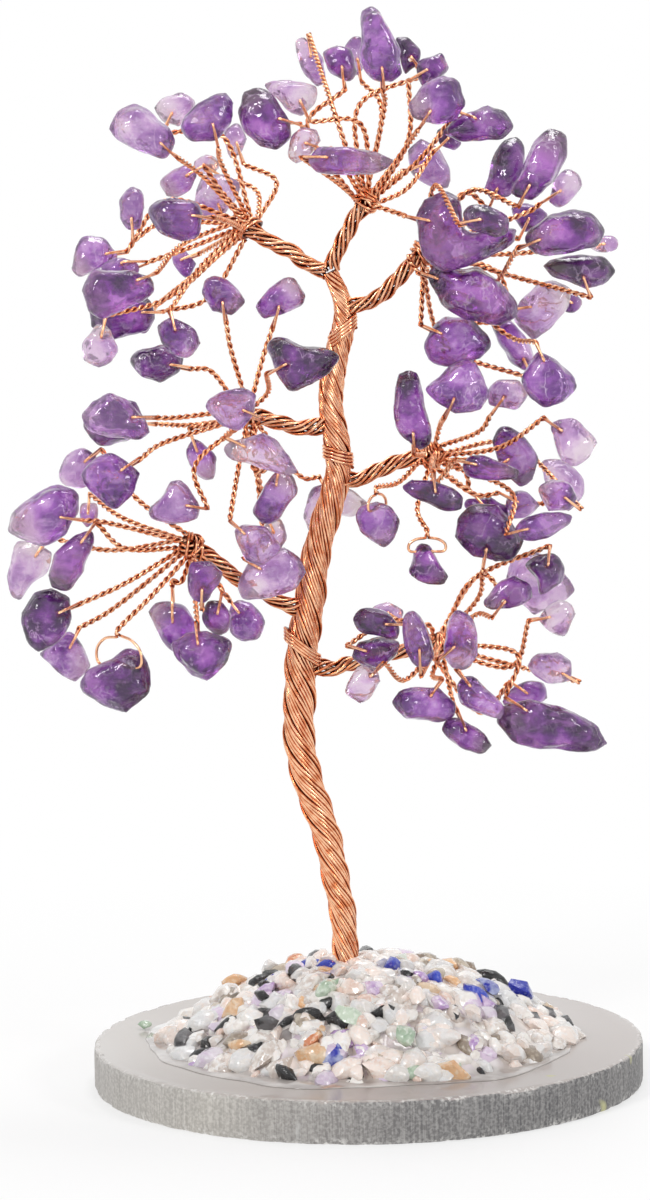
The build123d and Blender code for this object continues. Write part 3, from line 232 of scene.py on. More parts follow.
# ---- Resin heap: clear casting resin poured over the tree's foot, 59 mm across and 11.5 mm
# high. It set round the gravel, so only its glossy skin between the stones and its thin,
# uneven edge on the slab can be seen, where it ran out into a clear film.
heap_radius, heap_height, film_lift = 0.0295, 0.0115, 0.00002
heap_steps = [  # from the edge inward: share of the radius, share of the height
    (1.1, 0.0), (1.09, 0.012), (1.0, 0.02), (0.975, 0.05), (0.95, 0.09), (0.88, 0.2),
    (0.79, 0.34), (0.66, 0.53), (0.52, 0.7), (0.36, 0.86), (0.2, 0.96), (0.06, 0.985)]
# As shares: where the clear film begins, how far the whole heap is drawn in, and how high up
# its uneven skin begins. The last is how much that skin rises and falls.
film_from, drawn_in, skin_from, skin_swell = 1.01, 0.985, 0.05, 0.0005


def heap_rise(share):
    """How high the heap stands, at a share of the way out to its edge."""
    for (outer, low), (inner, high) in zip(heap_steps, heap_steps[1:]):
        if inner <= share <= outer:
            return heap_height * (low + (high - low) * (outer - share) / (outer - inner))
    return heap_height * heap_steps[-1][1] if share < 0.5 else 0.0


bpy.ops.mesh.primitive_circle_add(vertices=120, radius=heap_radius * heap_steps[0][0],
                                  fill_type="NGON", location=(0, 0, slab_thickness + film_lift))
heap = bpy.context.object
heap.name = "poured_resin"
bpy.ops.object.transform_apply(location=True)
bpy.ops.object.mode_set(mode="EDIT")
bpy.ops.mesh.select_all(action="SELECT")
for (outer, low), (inner, high) in zip(heap_steps, heap_steps[1:]):
    bpy.ops.mesh.extrude_region_move(
        TRANSFORM_OT_translate={"value": (0, 0, (high - low) * heap_height)})
    bpy.ops.transform.resize(value=(inner / outer, inner / outer, 1),
                             center_override=(0, 0, slab_thickness))
bpy.ops.mesh.select_all(action="SELECT")
bpy.ops.mesh.normals_make_consistent(inside=False)
bpy.ops.object.mode_set(mode="OBJECT")
for corner in heap.data.vertices:
    out = hypot(corner.co.x, corner.co.y) / heap_radius
    wander = uneven(corner.co, (90, 0.035), (300, 0.02))
    if out > film_from:
        around = Vector((corner.co.x, corner.co.y, 0)).normalized()
        wander = uneven(around, (1.7, 0.07), (5, 0.03))
    corner.co.x *= drawn_in + wander * out
    corner.co.y *= drawn_in + wander * out
    if corner.co.z > slab_thickness + heap_height * skin_from:
        corner.co.z += uneven(corner.co, (420, skin_swell))
bpy.ops.object.shade_smooth()
heap_finish, tree, shader = finish_of("resin over small stones", Roughness=0.04,
                                      Coat_Weight=1.0, Coat_Roughness=0.03, IOR=1.5)
place = node(tree, "TexCoord").outputs["Object"]
flat = node(tree, "VectorMath", {0: place, 1: (1, 1, 0)}, operation="MULTIPLY").outputs[0]
away = node(tree, "VectorMath", {0: flat}, operation="LENGTH").outputs["Value"]
film = share_of(tree, reckon(tree, "MULTIPLY", away, 0.9 / heap_radius), 0.84, 0.9)
cells = node(tree, "TexVoronoi", {"Vector": place, "Scale": 420.0})
picked = node(tree, "SeparateColor", {0: cells.outputs["Color"]}).outputs[0]
bits = graded(tree, picked, (0.0, paint(244, 240, 236)), (0.22, paint(248, 236, 228)),
              (0.42, paint(226, 218, 212)), (0.6, paint(236, 224, 230)),
              (0.74, paint(252, 250, 248)), (0.84, paint(206, 194, 186)),
              (0.92, paint(218, 196, 222)), (0.97, paint(130, 122, 120)))
# Painted shade: each bit in the resin grows darker towards its edges, where it meets the next.
painted_edge_shade = share_of(tree, cells.outputs["Distance"], 0.35, 0.75)
bits = mixed(tree, reckon(tree, "MULTIPLY", painted_edge_shade, 0.35), bits, paint(150, 140, 134))
wet = graded(tree, grain(tree, 150, 3), (0.4, paint(158, 149, 144)), (0.62, paint(205, 198, 193)))
bits = mixed(tree, film, bits, wet)
tree.links.new(bits, shader.inputs["Base Color"])
lumped = reckon(tree, "MULTIPLY", cells.outputs["Distance"], reckon(tree, "SUBTRACT", 1.0, film))
lumps = relief(tree, lumped, 0.5, 0.0008, invert=True)
tree.links.new(lumps, shader.inputs["Normal"])
dressed(heap, heap_finish, "clear_resin", "tree", "resin_mound")

# ---- Gravel: tumbled chips of eight minerals, 2 to 6 mm long, strewn over the wet resin and
# held by it. Every mineral is one piece. A single green stone lies loose on the slab's rim.
minerals = {
    # name: (how many, first colour, second colour, dark or pale vein and painted glint,
    # clearness)
    "clear_quartz": (370, paint(255, 250, 244), paint(214, 200, 190), paint(255, 255, 255), 0.16),
    "rose_quartz": (210, paint(255, 240, 230), paint(234, 204, 188), paint(255, 252, 250), 0.12),
    "amethyst": (66, paint(232, 212, 236), paint(182, 144, 202), paint(248, 240, 250), 0.14),
    "black_tourmaline": (76, paint(10, 10, 12), paint(24, 23, 25), paint(96, 94, 96), 0.0),
    "lapis": (12, paint(20, 36, 164), paint(52, 76, 196), paint(170, 178, 214), 0.0),
    "carnelian": (24, paint(242, 190, 138), paint(218, 132, 84), paint(250, 224, 190), 0.14),
    "aventurine": (8, paint(204, 220, 198), paint(156, 182, 154), paint(234, 242, 230), 0.12),
    "tiger_eye": (48, paint(146, 130, 112), paint(96, 80, 60), paint(206, 192, 172), 0.06),
}
chip_long, chip_wide, chip_thick = 0.0033, 0.74, 0.56
# Nine patterns, each a ball with seven flat breaks. Below them: how far out the gravel reaches,
# how deep a stone is bedded and how high the lowest lie, as shares of the stone, and how long a
# stone is for its solid's reach from the middle. Tourmaline's stones are slender rods.
pattern_count, breaks_per_chip, break_depth, pattern_scale = 9, 7, 0.34, 1.15
gravel_edge, bed_depth, least_rise, long_for_reach = 0.985, 0.35, 0.12, 1.3
stout, slender, rod_length = (0.8, 1.15), (0.5, 0.8), 1.15
draw = Random("strewn gravel")


def welded(name):
    """A CAD node's mesh, with the corners that lie on each other joined and numbered anew."""
    joined = bmesh.new()
    joined.from_mesh(frame["nodes"][name].data)
    bmesh.ops.remove_doubles(joined, verts=joined.verts, dist=1e-7)
    joined.verts.index_update()
    return joined


def bodies_of(shape):
    """The corners of each separate body in a mesh."""
    left, found = set(shape.verts), []
    for first in shape.verts:
        if first not in left:
            continue
        left.discard(first)
        reached = [first]
        for corner in reached:
            for edge in corner.link_edges:
                other = edge.other_vert(corner)
                if other in left:
                    left.discard(other)
                    reached.append(other)
        found.append(reached)
    return found


def solids_of(name):
    """The places of the corners of each separate solid in a CAD node."""
    joined = welded(name)
    found = [[corner.co.copy() for corner in body] for body in bodies_of(joined)]
    joined.free()
    return sorted(found, key=lambda corners: tuple(sum(corners, Vector())))


def any_way(draw):
    """A random arrow, up to 1 long on each axis."""
    return Vector([draw.uniform(-1, 1) for _ in range(3)])


def heap_lean(out):
    """How far the heap's skin leans outward, at a share of the way out to its edge."""
    if out >= 1.02:
        return 0.0
    step = 0.06
    fall = heap_rise(max(0, out - step)) - heap_rise(min(1, out + step))
    return 0.12 + fall / (2 * step * heap_radius) * 0.8


def choose(*pieces):
    """Selects these pieces alone, with the first as the active one."""
    bpy.ops.object.select_all(action="DESELECT")
    for piece in pieces:
        piece.select_set(True)
    bpy.context.view_layer.objects.active = pieces[0]


patterns = []
for number in range(pattern_count):
    bpy.ops.mesh.primitive_ico_sphere_add(subdivisions=2, radius=0.5)
    pebble = bpy.context.object
    broken_faces = [any_way(draw).normalized() for _ in range(breaks_per_chip)]
    for corner in pebble.data.vertices:
        for out in broken_faces:
            corner.co -= out * max(0, corner.co.dot(out) - break_depth)
        corner.co *= 1 + uneven(corner.co, (2.2, 0.2), shift=Vector((number * 7, number * 3, 1)))
    bpy.ops.object.mode_set(mode="EDIT")
    bpy.ops.mesh.select_all(action="SELECT")
    bpy.ops.transform.resize(value=(pattern_scale, chip_wide * pattern_scale,
                                    chip_thick * pattern_scale))
    bpy.ops.object.mode_set(mode="OBJECT")
    bpy.ops.object.shade_smooth_by_angle(angle=radians(40))
    pebble.name = f"pebble_pattern_{number}"
    patterns.append(pebble)

golden = pi * (3 - sqrt(5))
wanted = sum(count for count, *_ in minerals.values())
spots = []
for i in range(wanted):
    around = golden * i + draw.uniform(-0.25, 0.25)
    share = min(gravel_edge, sqrt((i + 0.5) / wanted) + draw.uniform(-0.02, 0.02))
    spots.append((share, around))
draw.shuffle(spots)
handed_out = iter(spots)
for mineral, (count, first, second, vein_and_glint_colour, clear) in minerals.items():
    rods = mineral == "black_tourmaline"
    copies, places = [], []
    for corners in solids_of(f"{mineral}_gravel"):
        middle = sum(corners, Vector()) / len(corners)
        reach = max((corner - middle).length for corner in corners)
        places.append((middle, reach * long_for_reach))
    for share, around in (next(handed_out) for _ in range(count)):
        size = chip_long * draw.uniform(0.55, 1.45) * (0.92 + 0.25 * share)
        size *= rod_length if rods else 1
        at = Vector((cos(around) * share * heap_radius, sin(around) * share * heap_radius,
                     slab_thickness + max(heap_rise(share), size * least_rise)
                     + draw.uniform(-0.45, 0.25) * size * bed_depth))
        places.append((at, size))
    for at, size in places:
        pattern = draw.choice(patterns)
        out = hypot(at.x, at.y) / heap_radius
        lean = heap_lean(out)
        upward = Vector((at.x / heap_radius * lean / max(out, 0.05),
                         at.y / heap_radius * lean / max(out, 0.05), 1)).normalized()
        tumble = Matrix.Rotation(draw.uniform(-0.5, 0.5), 4, "X") @ Matrix.Rotation(
            draw.uniform(0, 2 * pi), 4, "Z")
        stand = upward.to_track_quat("Z", "X").to_matrix().to_4x4() @ tumble
        slim = draw.uniform(*(slender if rods else stout))
        spread = Matrix.Diagonal((size, size * slim, size * draw.uniform(0.8, 1.2), 1))
        copy = pattern.copy()
        copy.data = pattern.data.copy()
        copy.data.transform(Matrix.Translation(at) @ stand @ spread)
        tone = copy.data.attributes.new("tone", "FLOAT", "POINT")
        own = draw.random()
        for value in tone.data:
            value.value = own
        bpy.context.collection.objects.link(copy)
        copies.append(copy)
    choose(*copies)
    bpy.ops.object.join()
    stones = bpy.context.object
    stones.name = f"{mineral}_stones"
    stone_finish, tree, shader = finish_of(
        f"tumbled {mineral.replace('_', ' ')}", Roughness=0.1, IOR=1.5,
        Coat_Weight=1.0 if clear else 0.25, Coat_Roughness=0.03)
    own = node(tree, "Attribute", attribute_name="tone").outputs["Fac"]
    glassy = share_of(tree, own, 0.55, 0.7, clear * 0.4, clear * 1.7)
    tree.links.new(glassy, shader.inputs["Transmission Weight"])
    cloud = reckon(tree, "ADD", reckon(tree, "MULTIPLY", grain(tree, 520, 3), 1.2),
                   reckon(tree, "MULTIPLY", own, 0.75))
    stone_colour = graded(tree, reckon(tree, "SUBTRACT", cloud, 0.4), (0.2, second), (0.5, first),
                          (0.72, first), (0.9, vein_and_glint_colour))
    # Painted glints: small spots of the vein colour, strongest on the clearest stones.
    specks_and_glints = share_of(tree, grain(tree, 1600, 4), 0.54, 0.6)
    painted_glint_share = reckon(tree, "MULTIPLY", specks_and_glints, 0.2 + 3 * clear)
    stone_colour = mixed(tree, painted_glint_share, stone_colour, vein_and_glint_colour)
    tree.links.new(stone_colour, shader.inputs["Base Color"])
    tree.links.new(relief(tree, grain(tree, 900, 4), 0.6, 0.0006), shader.inputs["Normal"])
    dressed(stones, stone_finish, mineral, "tree", f"{mineral}_gravel")
for pebble in patterns:
    bpy.data.objects.remove(pebble)

# ---- Trunk: 24 soft copper wires laid up into one rope round ten more, one turn in 21.5 mm.
# They rise out of the resin, bulge where branches leave and turn once in 11.5 mm at the top.
wire_thickness, trunk_strands, core_strands, trunk_step = 0.00052, 24, 10, 0.0007
trunk_girths, girth_heights = (1.05, 0.9), (0.045, 0.1)
loose_lay, tight_lay, tight_from, tight_to = 0.0215, 0.0115, 0.085, 0.112
# The rope's skin swells once in every six wires, and each wire strays by its slack. The ten
# inner wires lie about halfway out, and over the last steps the outer ones draw in to the tip.
lobe_wires, lobe_depth, core_reach, slack_depth, slack_pace = 6, 0.16, 0.55, 0.00012, 0.045
tip_steps, tip_reach = 14, 0.45


def ring_runs(name, sides):
    """Middles and reaches of the rings that a CAD node's solids were drawn through: a line
    from each of a solid's two ends."""
    joined = welded(name)
    runs, checked = [], set()
    for face in joined.faces:
        if face in checked:
            continue
        patch = [face]
        for one in patch:
            for edge in one.edges:
                patch += [other for other in edge.link_faces
                          if other not in patch and other.normal.dot(face.normal) > 0.99999]
        checked.update(patch)
        ring = {corner for one in patch for corner in one.verts}
        if len(ring) != sides:
            continue
        run, passed = [ring], set(ring)
        while True:
            ring = {edge.other_vert(corner) for corner in run[-1] for edge in corner.link_edges}
            ring -= passed
            if len(ring) != sides:
                break
            run.append(ring)
            passed |= ring
        if len(run) > 1:
            line = []
            for ring in run:
                ring = sorted(ring, key=lambda corner: corner.index)
                middle = sum((corner.co for corner in ring), Vector()) / sides
                reach = sum((corner.co - middle).length for corner in ring) / sides
                line.append(Vector((*middle, reach)))
            runs.append(line)
    joined.free()
    return runs


def eased(points, step):
    """Points a step apart on a smooth line through the given ones."""
    ends = [2 * points[0] - points[1], *points, 2 * points[-1] - points[-2]]
    line = []
    for a, b, c, d in zip(ends, ends[1:], ends[2:], ends[3:]):
        count = max(1, round((c - b).xyz.length / step))
        for i in range(count):
            t = i / count
            line.append(0.5 * (2 * b + (c - a) * t + (2 * a - 5 * b + 4 * c - d) * t ** 2
                               + (3 * b - a - 3 * c + d) * t ** 3))
    return line + [points[-1].copy()]


def wound(line, start, lay_of, reach_of):
    """A strand that winds round a line once in every lay, so far out at each step of it."""
    strand, turned, side = [], start, None
    for i, place in enumerate(line):
        before, after = line[max(i - 1, 0)].xyz, line[min(i + 1, len(line) - 1)].xyz
        along = (after - before).normalized()
        if side is None:
            side = along.cross(Vector((0, 1, 0.03))).normalized()
        side = (side - along * side.dot(along)).normalized()
        over = along.cross(side)
        if i:
            turned -= 2 * pi * (place.xyz - line[i - 1].xyz).length / lay_of(place)
        reach = reach_of(i)
        strand.append(place.xyz + (side * cos(turned) + over * sin(turned)) * reach)
    return strand


def wires(name, routes, thickness, rounding=2):
    """Round wires along the given routes, as one piece."""
    outline = bpy.data.curves.new(name, "CURVE")
    outline.dimensions = "3D"
    outline.bevel_depth, outline.bevel_resolution = thickness / 2, rounding
    outline.use_fill_caps = True
    for route in routes:
        run = outline.splines.new("POLY")
        run.points.add(len(route) - 1)
        for point, place in zip(run.points, route):
            point.co = (*place.xyz, 1)
    drawn = bpy.data.objects.new(name, outline)
    bpy.context.collection.objects.link(drawn)
    choose(drawn)
    bpy.ops.object.convert(target="MESH")
    bpy.ops.object.shade_smooth()
    return bpy.context.object


def mark_painted_light(piece, lines):
    """Marks how far each bit of wire faces out of its bundle, for painted shade and highlights.
    """
    cores = [place.xyz for line in lines for place in line]
    near = kdtree.KDTree(len(cores))
    for i, core in enumerate(cores):
        near.insert(core, i)
    near.balance()
    painted_light_share = piece.data.attributes.new("painted_light_share", "FLOAT", "POINT")
    for corner in piece.data.vertices:
        arm = (corner.co - near.find(corner.co)[0]).normalized()
        painted_light_share.data[corner.index].value = 0.5 + 0.5 * corner.normal.dot(arm)


# The copper's colour holds painted light: shade in the gaps between wires and highlights on their
# outward crests.
copper, tree, shader = finish_of("copper wire with painted shade and highlights", Metallic=1.0, Roughness=0.2)
painted_light_share = node(tree, "Attribute", attribute_name="painted_light_share").outputs["Fac"]
worn = reckon(tree, "SUBTRACT", grain(tree, 700, 3), 0.5)
painted_light_level = reckon(tree, "ADD", painted_light_share, reckon(tree, "MULTIPLY", worn, 0.5))
copper_with_painted_light = graded(tree, painted_light_level, (0.38, paint(72, 26, 11)), (0.66, paint(158, 72, 38)),
                       (0.86, paint(220, 130, 84)), (1.0, paint(254, 200, 160)))
tree.links.new(copper_with_painted_light, shader.inputs["Base Color"])
tree.links.new(relief(tree, grain(tree, 3000, 2), 0.08, 0.0001), shader.inputs["Normal"])


def trunk_reach(place):
    """How far the trunk's skin stands from its middle, at a place on it."""
    share = (place.z - girth_heights[0]) / (girth_heights[1] - girth_heights[0])
    share = min(1, max(0, share))
    return place.w * (trunk_girths[0] + (trunk_girths[1] - trunk_girths[0]) * share)


def trunk_lay(place):
    """How far the trunk's wires run in one turn, at a place on it."""
    share = min(1, max(0, (place.z - tight_from) / (tight_to - tight_from)))
    return loose_lay + (tight_lay - loose_lay) * share


trunk_run = max(ring_runs("trunk", 10), key=len)
trunk_line = eased([place for place in trunk_run if place.z > slab_thickness][::-1], trunk_step)
trunk_routes = []
for i in range(trunk_strands):
    def reach_of(step, i=i):
        lobe = 0.5 - 0.5 * cos(2 * pi * (i % lobe_wires + 0.5) / lobe_wires)
        near_top = min(1, (len(trunk_line) - 1 - step) / tip_steps)
        slack = slack_depth * sin(step * slack_pace + i * 2.1)
        full = trunk_reach(trunk_line[step]) - wire_thickness / 2
        lobed = full * (1 - lobe_depth + lobe_depth * lobe) + slack
        return lobed * (tip_reach + (1 - tip_reach) * near_top)

    trunk_routes.append(wound(trunk_line, 2 * pi * i / trunk_strands, trunk_lay, reach_of))
for i in range(core_strands):
    trunk_routes.append(wound(trunk_line, 2 * pi * i / core_strands, trunk_lay,
                              lambda step: trunk_line[step].w * core_reach))
trunk = wires("copper_trunk", trunk_routes, wire_thickness)
mark_painted_light(trunk, [trunk_line])
dressed(trunk, copper, "copper", "tree", "trunk")

# ---- Bindings: lengths of the same wire wound round the trunk where branches leave it, turn
# beside turn, to keep the bundle tight. Each has four turns, and lies at a slant.
binding_turns, binding_slants, steps_per_turn = 4, (-0.85, -0.35, 0.8), 24
turn_spacing, binding_lift = 0.96, 0.2
# Each binding is found twice, once from each of its ends.
bound_heights = sorted(sum(place.z for place in run) / len(run)
                       for run in ring_runs("wire_bindings", 4) if len(run) > 8)[::2]
binding_routes = []
for height, slant in zip(bound_heights, binding_slants):
    core = min(trunk_line, key=lambda place: abs(place.z - height))
    reach = trunk_reach(core) + wire_thickness * binding_lift
    turns = [2 * pi * step / steps_per_turn for step in range(binding_turns * steps_per_turn)]
    binding_routes.append([
        Vector((core.x + reach * cos(turn), core.y + reach * sin(turn),
                height + (turn / (2 * pi) - binding_turns / 2) * wire_thickness * turn_spacing
                + slant * reach * cos(turn)))
        for turn in turns])
bindings = wires("wound_bindings", binding_routes, wire_thickness)
mark_painted_light(bindings, [trunk_line])
dressed(bindings, copper, "copper", "tree", "wire_bindings")

# ---- Branches: seven smaller cords of the same wires. Each ends in a knot, where a few turns
# of wire hold the bundle and the twigs part.
branch_lay, branch_strands, branch_step, branch_reach = 0.012, 8, 0.0006, 0.0014
cord_wire, cord_fill, cord_sway, sway_pace = wire_thickness * 0.95, 0.78, 0.12, 0.16
# Each knot is five turns of wire, tilted at random. A turn is drawn in thirty steps of this
# angle, and climbs by its rise in 28 of them.
knot_turns, knot_reach, knot_rise, rise_steps = 5, 0.0017, 0.0005, 28
knot_steps, knot_stride = 30, 0.26
sprays = ("crown", "upper_left", "upper_right", "middle_left", "middle_right", "lower_left",
          "lower_right")
for spray in sprays:
    run = max(ring_runs(f"{spray}_branch", 6), key=len)[::-1]
    foot = min(trunk_line, key=lambda place: (place.xyz - run[0].xyz).length)
    knot = run[-2].xyz.lerp(run[-3].xyz, 0.5)
    line = eased([foot.lerp(run[0], 0.3), *run], branch_step)
    draw = Random(spray)
    routes = []
    for i in range(branch_strands):
        def reach_of(step, i=i):
            width = min(line[step].w, branch_reach)
            return width * (cord_fill + cord_sway * sin(step * sway_pace + i * 2.4))

        routes.append(wound(line, 2 * pi * i / branch_strands, lambda place: branch_lay,
                            reach_of))
    routes.append(line)
    onward = (run[-1].xyz - run[-4].xyz).normalized()
    for _ in range(knot_turns):
        axis = (onward + any_way(draw) * 0.5).normalized()
        side = axis.orthogonal().normalized()
        over = axis.cross(side)
        reach = knot_reach * draw.uniform(0.85, 1.08)
        shift = onward * draw.uniform(-0.0012, 0.001)
        begin = draw.uniform(0, 2 * pi)
        routes.append([knot + shift + axis * knot_rise * (step / rise_steps) + (
            side * cos(begin + step * knot_stride)
            + over * sin(begin + step * knot_stride)) * reach for step in range(knot_steps)])
    branch = wires(f"{spray}_cord", routes, cord_wire, 1)
    mark_painted_light(branch, [line])
    dressed(branch, copper, "copper", "tree", f"{spray}_branch")

# ---- Twigs: each is one fine copper wire, folded through its chip's hole and twisted back on
# itself as far as the knot, so it is a pair of strands with a small loop at the end.
twig_wire, twig_lay, twig_reach, stem_step, loop_step = 0.00042, 0.0023, 0.52, 0.00029, 0.00025


def twisted_pair(stem):
    """The two strands of a twig, wound round its stem on opposite sides."""
    return [wound(stem, start, lambda place: twig_lay, lambda step: twig_wire * twig_reach)
            for start in (0.0, pi)]


def twig_route(run):
    """One wire up the twig, round through the chip's hole and back down, and the middles that
    it winds round: the twig's stem and the loop itself."""
    root, bend, tip, front, rear, back = (place.xyz for place in run)
    stem = eased([root, bend, tip.lerp(back, 0.5)], stem_step)
    up, down = twisted_pair(stem)
    hole = (front + rear) / 2
    if (up[-1] - front).length > (down[-1] - front).length:
        up, down = down, up
    loop = eased([up[-1], front, hole, rear, down[-1]], loop_step)
    return [*up[:-1], *loop, *down[-2::-1]], [stem, loop[2:-2]]


for spray in sprays:
    # Of a twig's two runs, the one from its thicker end, which is in the knot.
    twig_runs = [run for run in ring_runs(f"{spray}_twigs", 4)
                 if len(run) == 6 and run[0].w > run[-1].w]
    routes, cores = zip(*map(twig_route, twig_runs))
    twigs = wires(f"{spray}_twig_wires", routes, twig_wire, 1)
    mark_painted_light(twigs, [line for pair in cores for line in pair])
    dressed(twigs, copper, "copper", "tree", f"{spray}_twigs")

# ---- Amethyst chips: tumbled and drilled stones, 5 to 15 mm long, one on each twig's loop.
# They run from smoky deep violet to pale lilac, and many change colour from end to end.
tones = {
    # name: colours from the dark to the pale end of its range, its cloudy end, how clear it is
    "deep": ([paint(46, 12, 60), paint(92, 28, 118), paint(140, 56, 168),
              paint(192, 120, 208)], paint(92, 82, 68), 0.7),
    "violet": ([paint(86, 30, 116), paint(130, 58, 160), paint(174, 102, 200),
                paint(220, 174, 230)], paint(184, 162, 156), 0.75),
    "pale": ([paint(152, 100, 172), paint(192, 144, 204), paint(220, 184, 224),
              paint(238, 218, 234)], paint(222, 212, 206), 0.8),
}
gem_finishes = {}
for tone, (colours, cloudy, clear) in tones.items():
    gem_finish, tree, shader = finish_of(f"{tone} amethyst", Roughness=0.05, IOR=1.54,
                                         Transmission_Weight=clear, Coat_Weight=0.5,
                                         Coat_Roughness=0.02)
    own = node(tree, "Attribute", attribute_name="tone").outputs["Fac"]
    lengthwise = node(tree, "Attribute", attribute_name="lengthwise").outputs["Fac"]
    zones = reckon(tree, "ADD", reckon(tree, "MULTIPLY", grain(tree, 240, 3), 3.2),
                   reckon(tree, "MULTIPLY", own, 0.45))
    zones = reckon(tree, "ADD", zones, reckon(tree, "MULTIPLY", lengthwise, 0.4))
    zones = reckon(tree, "SUBTRACT", zones, 1.5)
    gem_colour = graded(tree, zones, *zip((0.15, 0.42, 0.68, 0.92), colours))
    ends = reckon(tree, "MULTIPLY", share_of(tree, lengthwise, 0.56, 0.9),
                  share_of(tree, own, 0.5, 0.6, most=0.8))
    gem_colour = mixed(tree, ends, gem_colour, cloudy)
    streaks = share_of(tree, grain(tree, 420, 4, (1, 1, 2.5)), 0.5, 0.72)
    gem_colour = mixed(tree, reckon(tree, "MULTIPLY", streaks, 0.45), gem_colour, colours[-1])
    flaw = reckon(tree, "SUBTRACT", grain(tree, 300, 5, (1, 1.6, 0.7)), 0.5)
    veil = share_of(tree, reckon(tree, "ABSOLUTE", flaw), 0.0, 0.018, 1.0, 0.0)
    flawed = share_of(tree, grain(tree, 150, 2, (1, 1.3, 0.8)), 0.46, 0.6, 0.1, 0.75)
    specks = reckon(tree, "MULTIPLY", share_of(tree, grain(tree, 1300, 4), 0.58, 0.68), 0.6)
    shards = reckon(tree, "MULTIPLY", flawed, reckon(tree, "MAXIMUM", veil, specks))
    gem_colour = mixed(tree, shards, gem_colour, paint(236, 218, 240))
    # Painted shade: each chip darkens towards the rim of its outline, where its skin turns away
    # from the eye.
    edge = node(tree, "LayerWeight", {"Blend": 0.32}).outputs["Facing"]
    painted_edge_shade = reckon(tree, "MULTIPLY", share_of(tree, edge, 0.35, 0.9), 0.66)
    gem_colour = mixed(tree, painted_edge_shade, gem_colour, colours[0])
    tree.links.new(gem_colour, shader.inputs["Base Color"])
    worn = relief(tree, grain(tree, 360, 2), 0.8, 0.001)
    pitted = relief(tree, grain(tree, 1500, 3), 0.3, 0.0002, worn)
    tree.links.new(pitted, shader.inputs["Normal"])
    gem_finishes[tone] = gem_finish

# A chip's skin is drawn anew in bits this small, and smoothed so many times. That takes a little
# off all round, which the last swell gives back.
skin_bit, smooth_rounds, given_back = 0.0003, 26, 0.00028


def tumbled(name, source):
    """A CAD chip or handful of chips, worn round, with its own tones marked on it."""
    gem = frame["nodes"][source].copy()
    gem.data = frame["nodes"][source].data.copy()
    gem.parent = None
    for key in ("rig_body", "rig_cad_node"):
        del gem[key]
    gem.name = name
    bpy.context.collection.objects.link(gem)
    gem.hide_render = gem.hide_viewport = False
    choose(gem)
    bpy.ops.object.mode_set(mode="EDIT")
    bpy.ops.mesh.select_all(action="SELECT")
    bpy.ops.mesh.remove_doubles(threshold=1e-7)
    bpy.ops.object.mode_set(mode="OBJECT")
    remesh = gem.modifiers.new("worn", "REMESH")
    remesh.mode, remesh.voxel_size = "VOXEL", skin_bit
    bpy.ops.object.modifier_apply(modifier="worn")
    soft = gem.modifiers.new("round", "SMOOTH")
    soft.factor, soft.iterations = 0.5, smooth_rounds
    bpy.ops.object.modifier_apply(modifier="round")
    shape = bmesh.new()
    shape.from_mesh(gem.data)
    own = shape.verts.layers.float.new("tone")
    lengthwise = shape.verts.layers.float.new("lengthwise")
    draw = Random(source)
    for stone in bodies_of(shape):
        middle = sum((corner.co for corner in stone), Vector()) / len(stone)
        far = max(stone, key=lambda corner: (corner.co - middle).length).co - middle
        reach, tone = far.length, draw.random()
        flip = draw.choice((-1, 1))
        offset = Vector((draw.random(), draw.random(), draw.random())) * 9
        for corner in stone:
            arm = corner.co - middle
            corner[own] = tone
            corner[lengthwise] = 0.5 + 0.5 * flip * arm.dot(far) / reach ** 2
            swell = uneven(corner.co, (210, 0.0005), (480, 0.0002), shift=offset)
            corner.co += corner.normal * (swell + given_back)
    shape.to_mesh(gem.data)
    shape.free()
    bpy.ops.object.shade_smooth()
    return gem


for spray in sprays:
    for tone in tones:
        source = f"{spray}_{tone}_chips"
        if source in frame["nodes"]:
            gems = tumbled(f"{spray}_{tone}_gems", source)
            dressed(gems, gem_finishes[tone], f"{tone}_amethyst", "tree", source)

# ---- Hanging chips: four drilled chips that swing freely. Each hangs on an open loop of wire
# at the end of its own twig, and the wire runs straight through its hole.
hanging = {
    # name: (tone, height of the loop above the pin)
    "heart_drop": ("violet", 0.00214),
    "long_drop": ("deep", 0.00194),
    "broad_drop": ("deep", 0.00418),
    "ringed_drop": ("violet", 0.00469),
}
on_pin_line, hook_step = 0.00026, 0.0002
swings = {swing["child"]: swing for swing in frame["joints"]}
for name, (tone, rise) in hanging.items():
    gem = tumbled(f"{name}_gem", name)
    dressed(gem, gem_finishes[tone], f"{tone}_amethyst", name, name)
    pin = Vector(swings[name]["pos_m"])
    across = Vector(swings[name]["axis"]).normalized()
    arms = [corner.co - pin for corner in frame["nodes"][f"{name}_hanger"].data.vertices]
    stand = max(abs(arm.dot(across)) for arm in arms if arm.cross(across).length < on_pin_line)
    run = max(ring_runs(f"{name}_hanger", 4), key=lambda run: (run[0].xyz - pin).length)
    apex = pin + Vector((0, 0, rise))
    stem = eased([place.xyz for place in run[:3]] + [apex], stem_step)
    up, down = twisted_pair(stem)
    if (up[-1] - pin).dot(across) < 0:
        up, down = down, up
    lift, crown = Vector((0, 0, rise * 0.5)), Vector((0, 0, rise * 0.88))
    half, shoulder, foot = across * stand, across * stand * 0.62, across * stand * 0.9
    loop = eased([up[-1], pin + shoulder + crown, pin + half + lift, pin + foot, pin, pin - foot,
                  pin - half + lift, pin - shoulder + crown, down[-1]], hook_step)
    hook = wires(f"{name}_hook", [[*up[:-1], *loop, *down[-2::-1]]], twig_wire, 2)
    mark_painted_light(hook, [stem, loop[2:-2]])
    dressed(hook, copper, "copper", "tree", f"{name}_hanger")

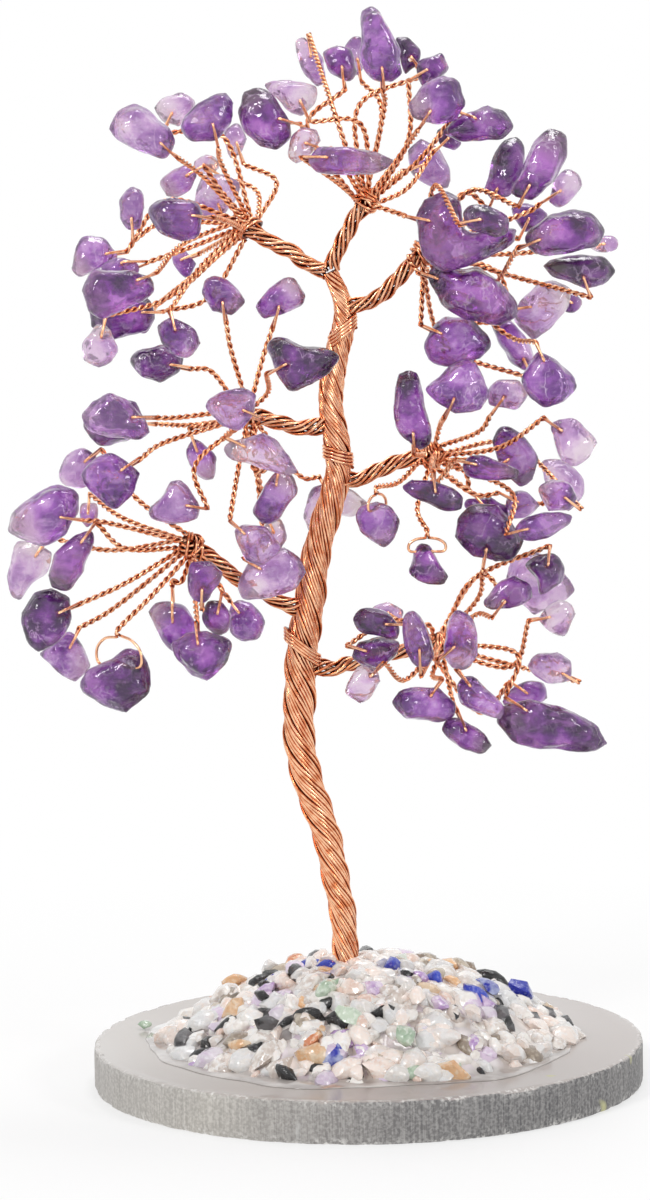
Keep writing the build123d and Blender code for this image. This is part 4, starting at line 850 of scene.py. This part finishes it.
# ---- Studio: a pale table under a plain white surround, one soft lamp high on the left in
# front, a weaker one on the right and one above, and the camera where the picture was taken.
table_size, table_colour, room_light = 8.0, paint(252, 252, 252), 0.55
lamps = [  # place, width, power
    ((-0.34, -0.42, 0.46), 0.1, 1.3),
    ((0.45, -0.36, 0.3), 0.13, 0.75),
    ((0.05, 0.15, 0.6), 0.2, 0.95),
]
lamp_aim = Vector((0, 0, 0.08))
eye, eye_tilt, eye_roll, eye_lens = Vector((-0.00532, -0.69412, 0.16092)), 7.4, -0.9, 145.6
bpy.ops.mesh.primitive_plane_add(size=table_size, location=(0, 2, 0))
table = bpy.context.object
table.name = "table_top"
bpy.ops.object.transform_apply(location=True)
table_finish, tree, shader = finish_of("white table", Base_Color=table_colour, Roughness=0.9)
place = node(tree, "TexCoord").outputs["Object"]
away = node(tree, "VectorMath", {0: place}, operation="LENGTH").outputs["Value"]
fading = share_of(tree, reckon(tree, "MULTIPLY", away, 2.5), 0.09, 0.4, least=0.55)
glow = node(tree, "Emission", {"Color": (1, 1, 1, 1), "Strength": 1.0}).outputs["Emission"]
blend = node(tree, "MixShader", {"Fac": fading})
tree.links.new(shader.outputs["BSDF"], blend.inputs[1])
tree.links.new(glow, blend.inputs[2])
tree.links.new(blend.outputs["Shader"], tree.nodes["Material Output"].inputs["Surface"])
table.data.materials.append(table_finish)

surround = bpy.data.worlds.new("white surround")
surround.use_nodes = True
bpy.context.scene.world = surround
tree = surround.node_tree
ray = node(tree, "LightPath")
seen = reckon(tree, "MAXIMUM", ray.outputs["Is Camera Ray"], ray.outputs["Is Glossy Ray"])
seen = reckon(tree, "MAXIMUM", seen, ray.outputs["Is Transmission Ray"])
light = reckon(tree, "ADD", reckon(tree, "MULTIPLY", seen, 1 - room_light), room_light)
tree.links.new(light, tree.nodes["Background"].inputs["Strength"])
tree.nodes["Background"].inputs["Color"].default_value = (1, 1, 1, 1)

for place, size, power in lamps:
    bpy.ops.object.light_add(type="AREA", location=place)
    lamp = bpy.context.object
    lamp.data.size, lamp.data.energy = size, power
    lamp.rotation_euler = (lamp_aim - Vector(place)).to_track_quat("-Z", "Y").to_euler()

down, lean = radians(eye_tilt), radians(eye_roll)
ahead = Vector((0, cos(down), -sin(down)))
level, upright = Vector((1, 0, 0)), Vector((0, sin(down), cos(down)))
right = level * cos(lean) + upright * sin(lean)
aloft = upright * cos(lean) - level * sin(lean)
bpy.ops.object.camera_add()
camera = bpy.context.object
turned = Matrix((right, aloft, -ahead)).transposed().to_4x4()
camera.matrix_world = Matrix.Translation(eye) @ turned
camera.data.lens = eye_lens
camera.data.clip_start, camera.data.clip_end = 0.01, 40
bpy.context.scene.camera = camera
bpy.context.scene.view_settings.view_transform = "Standard"
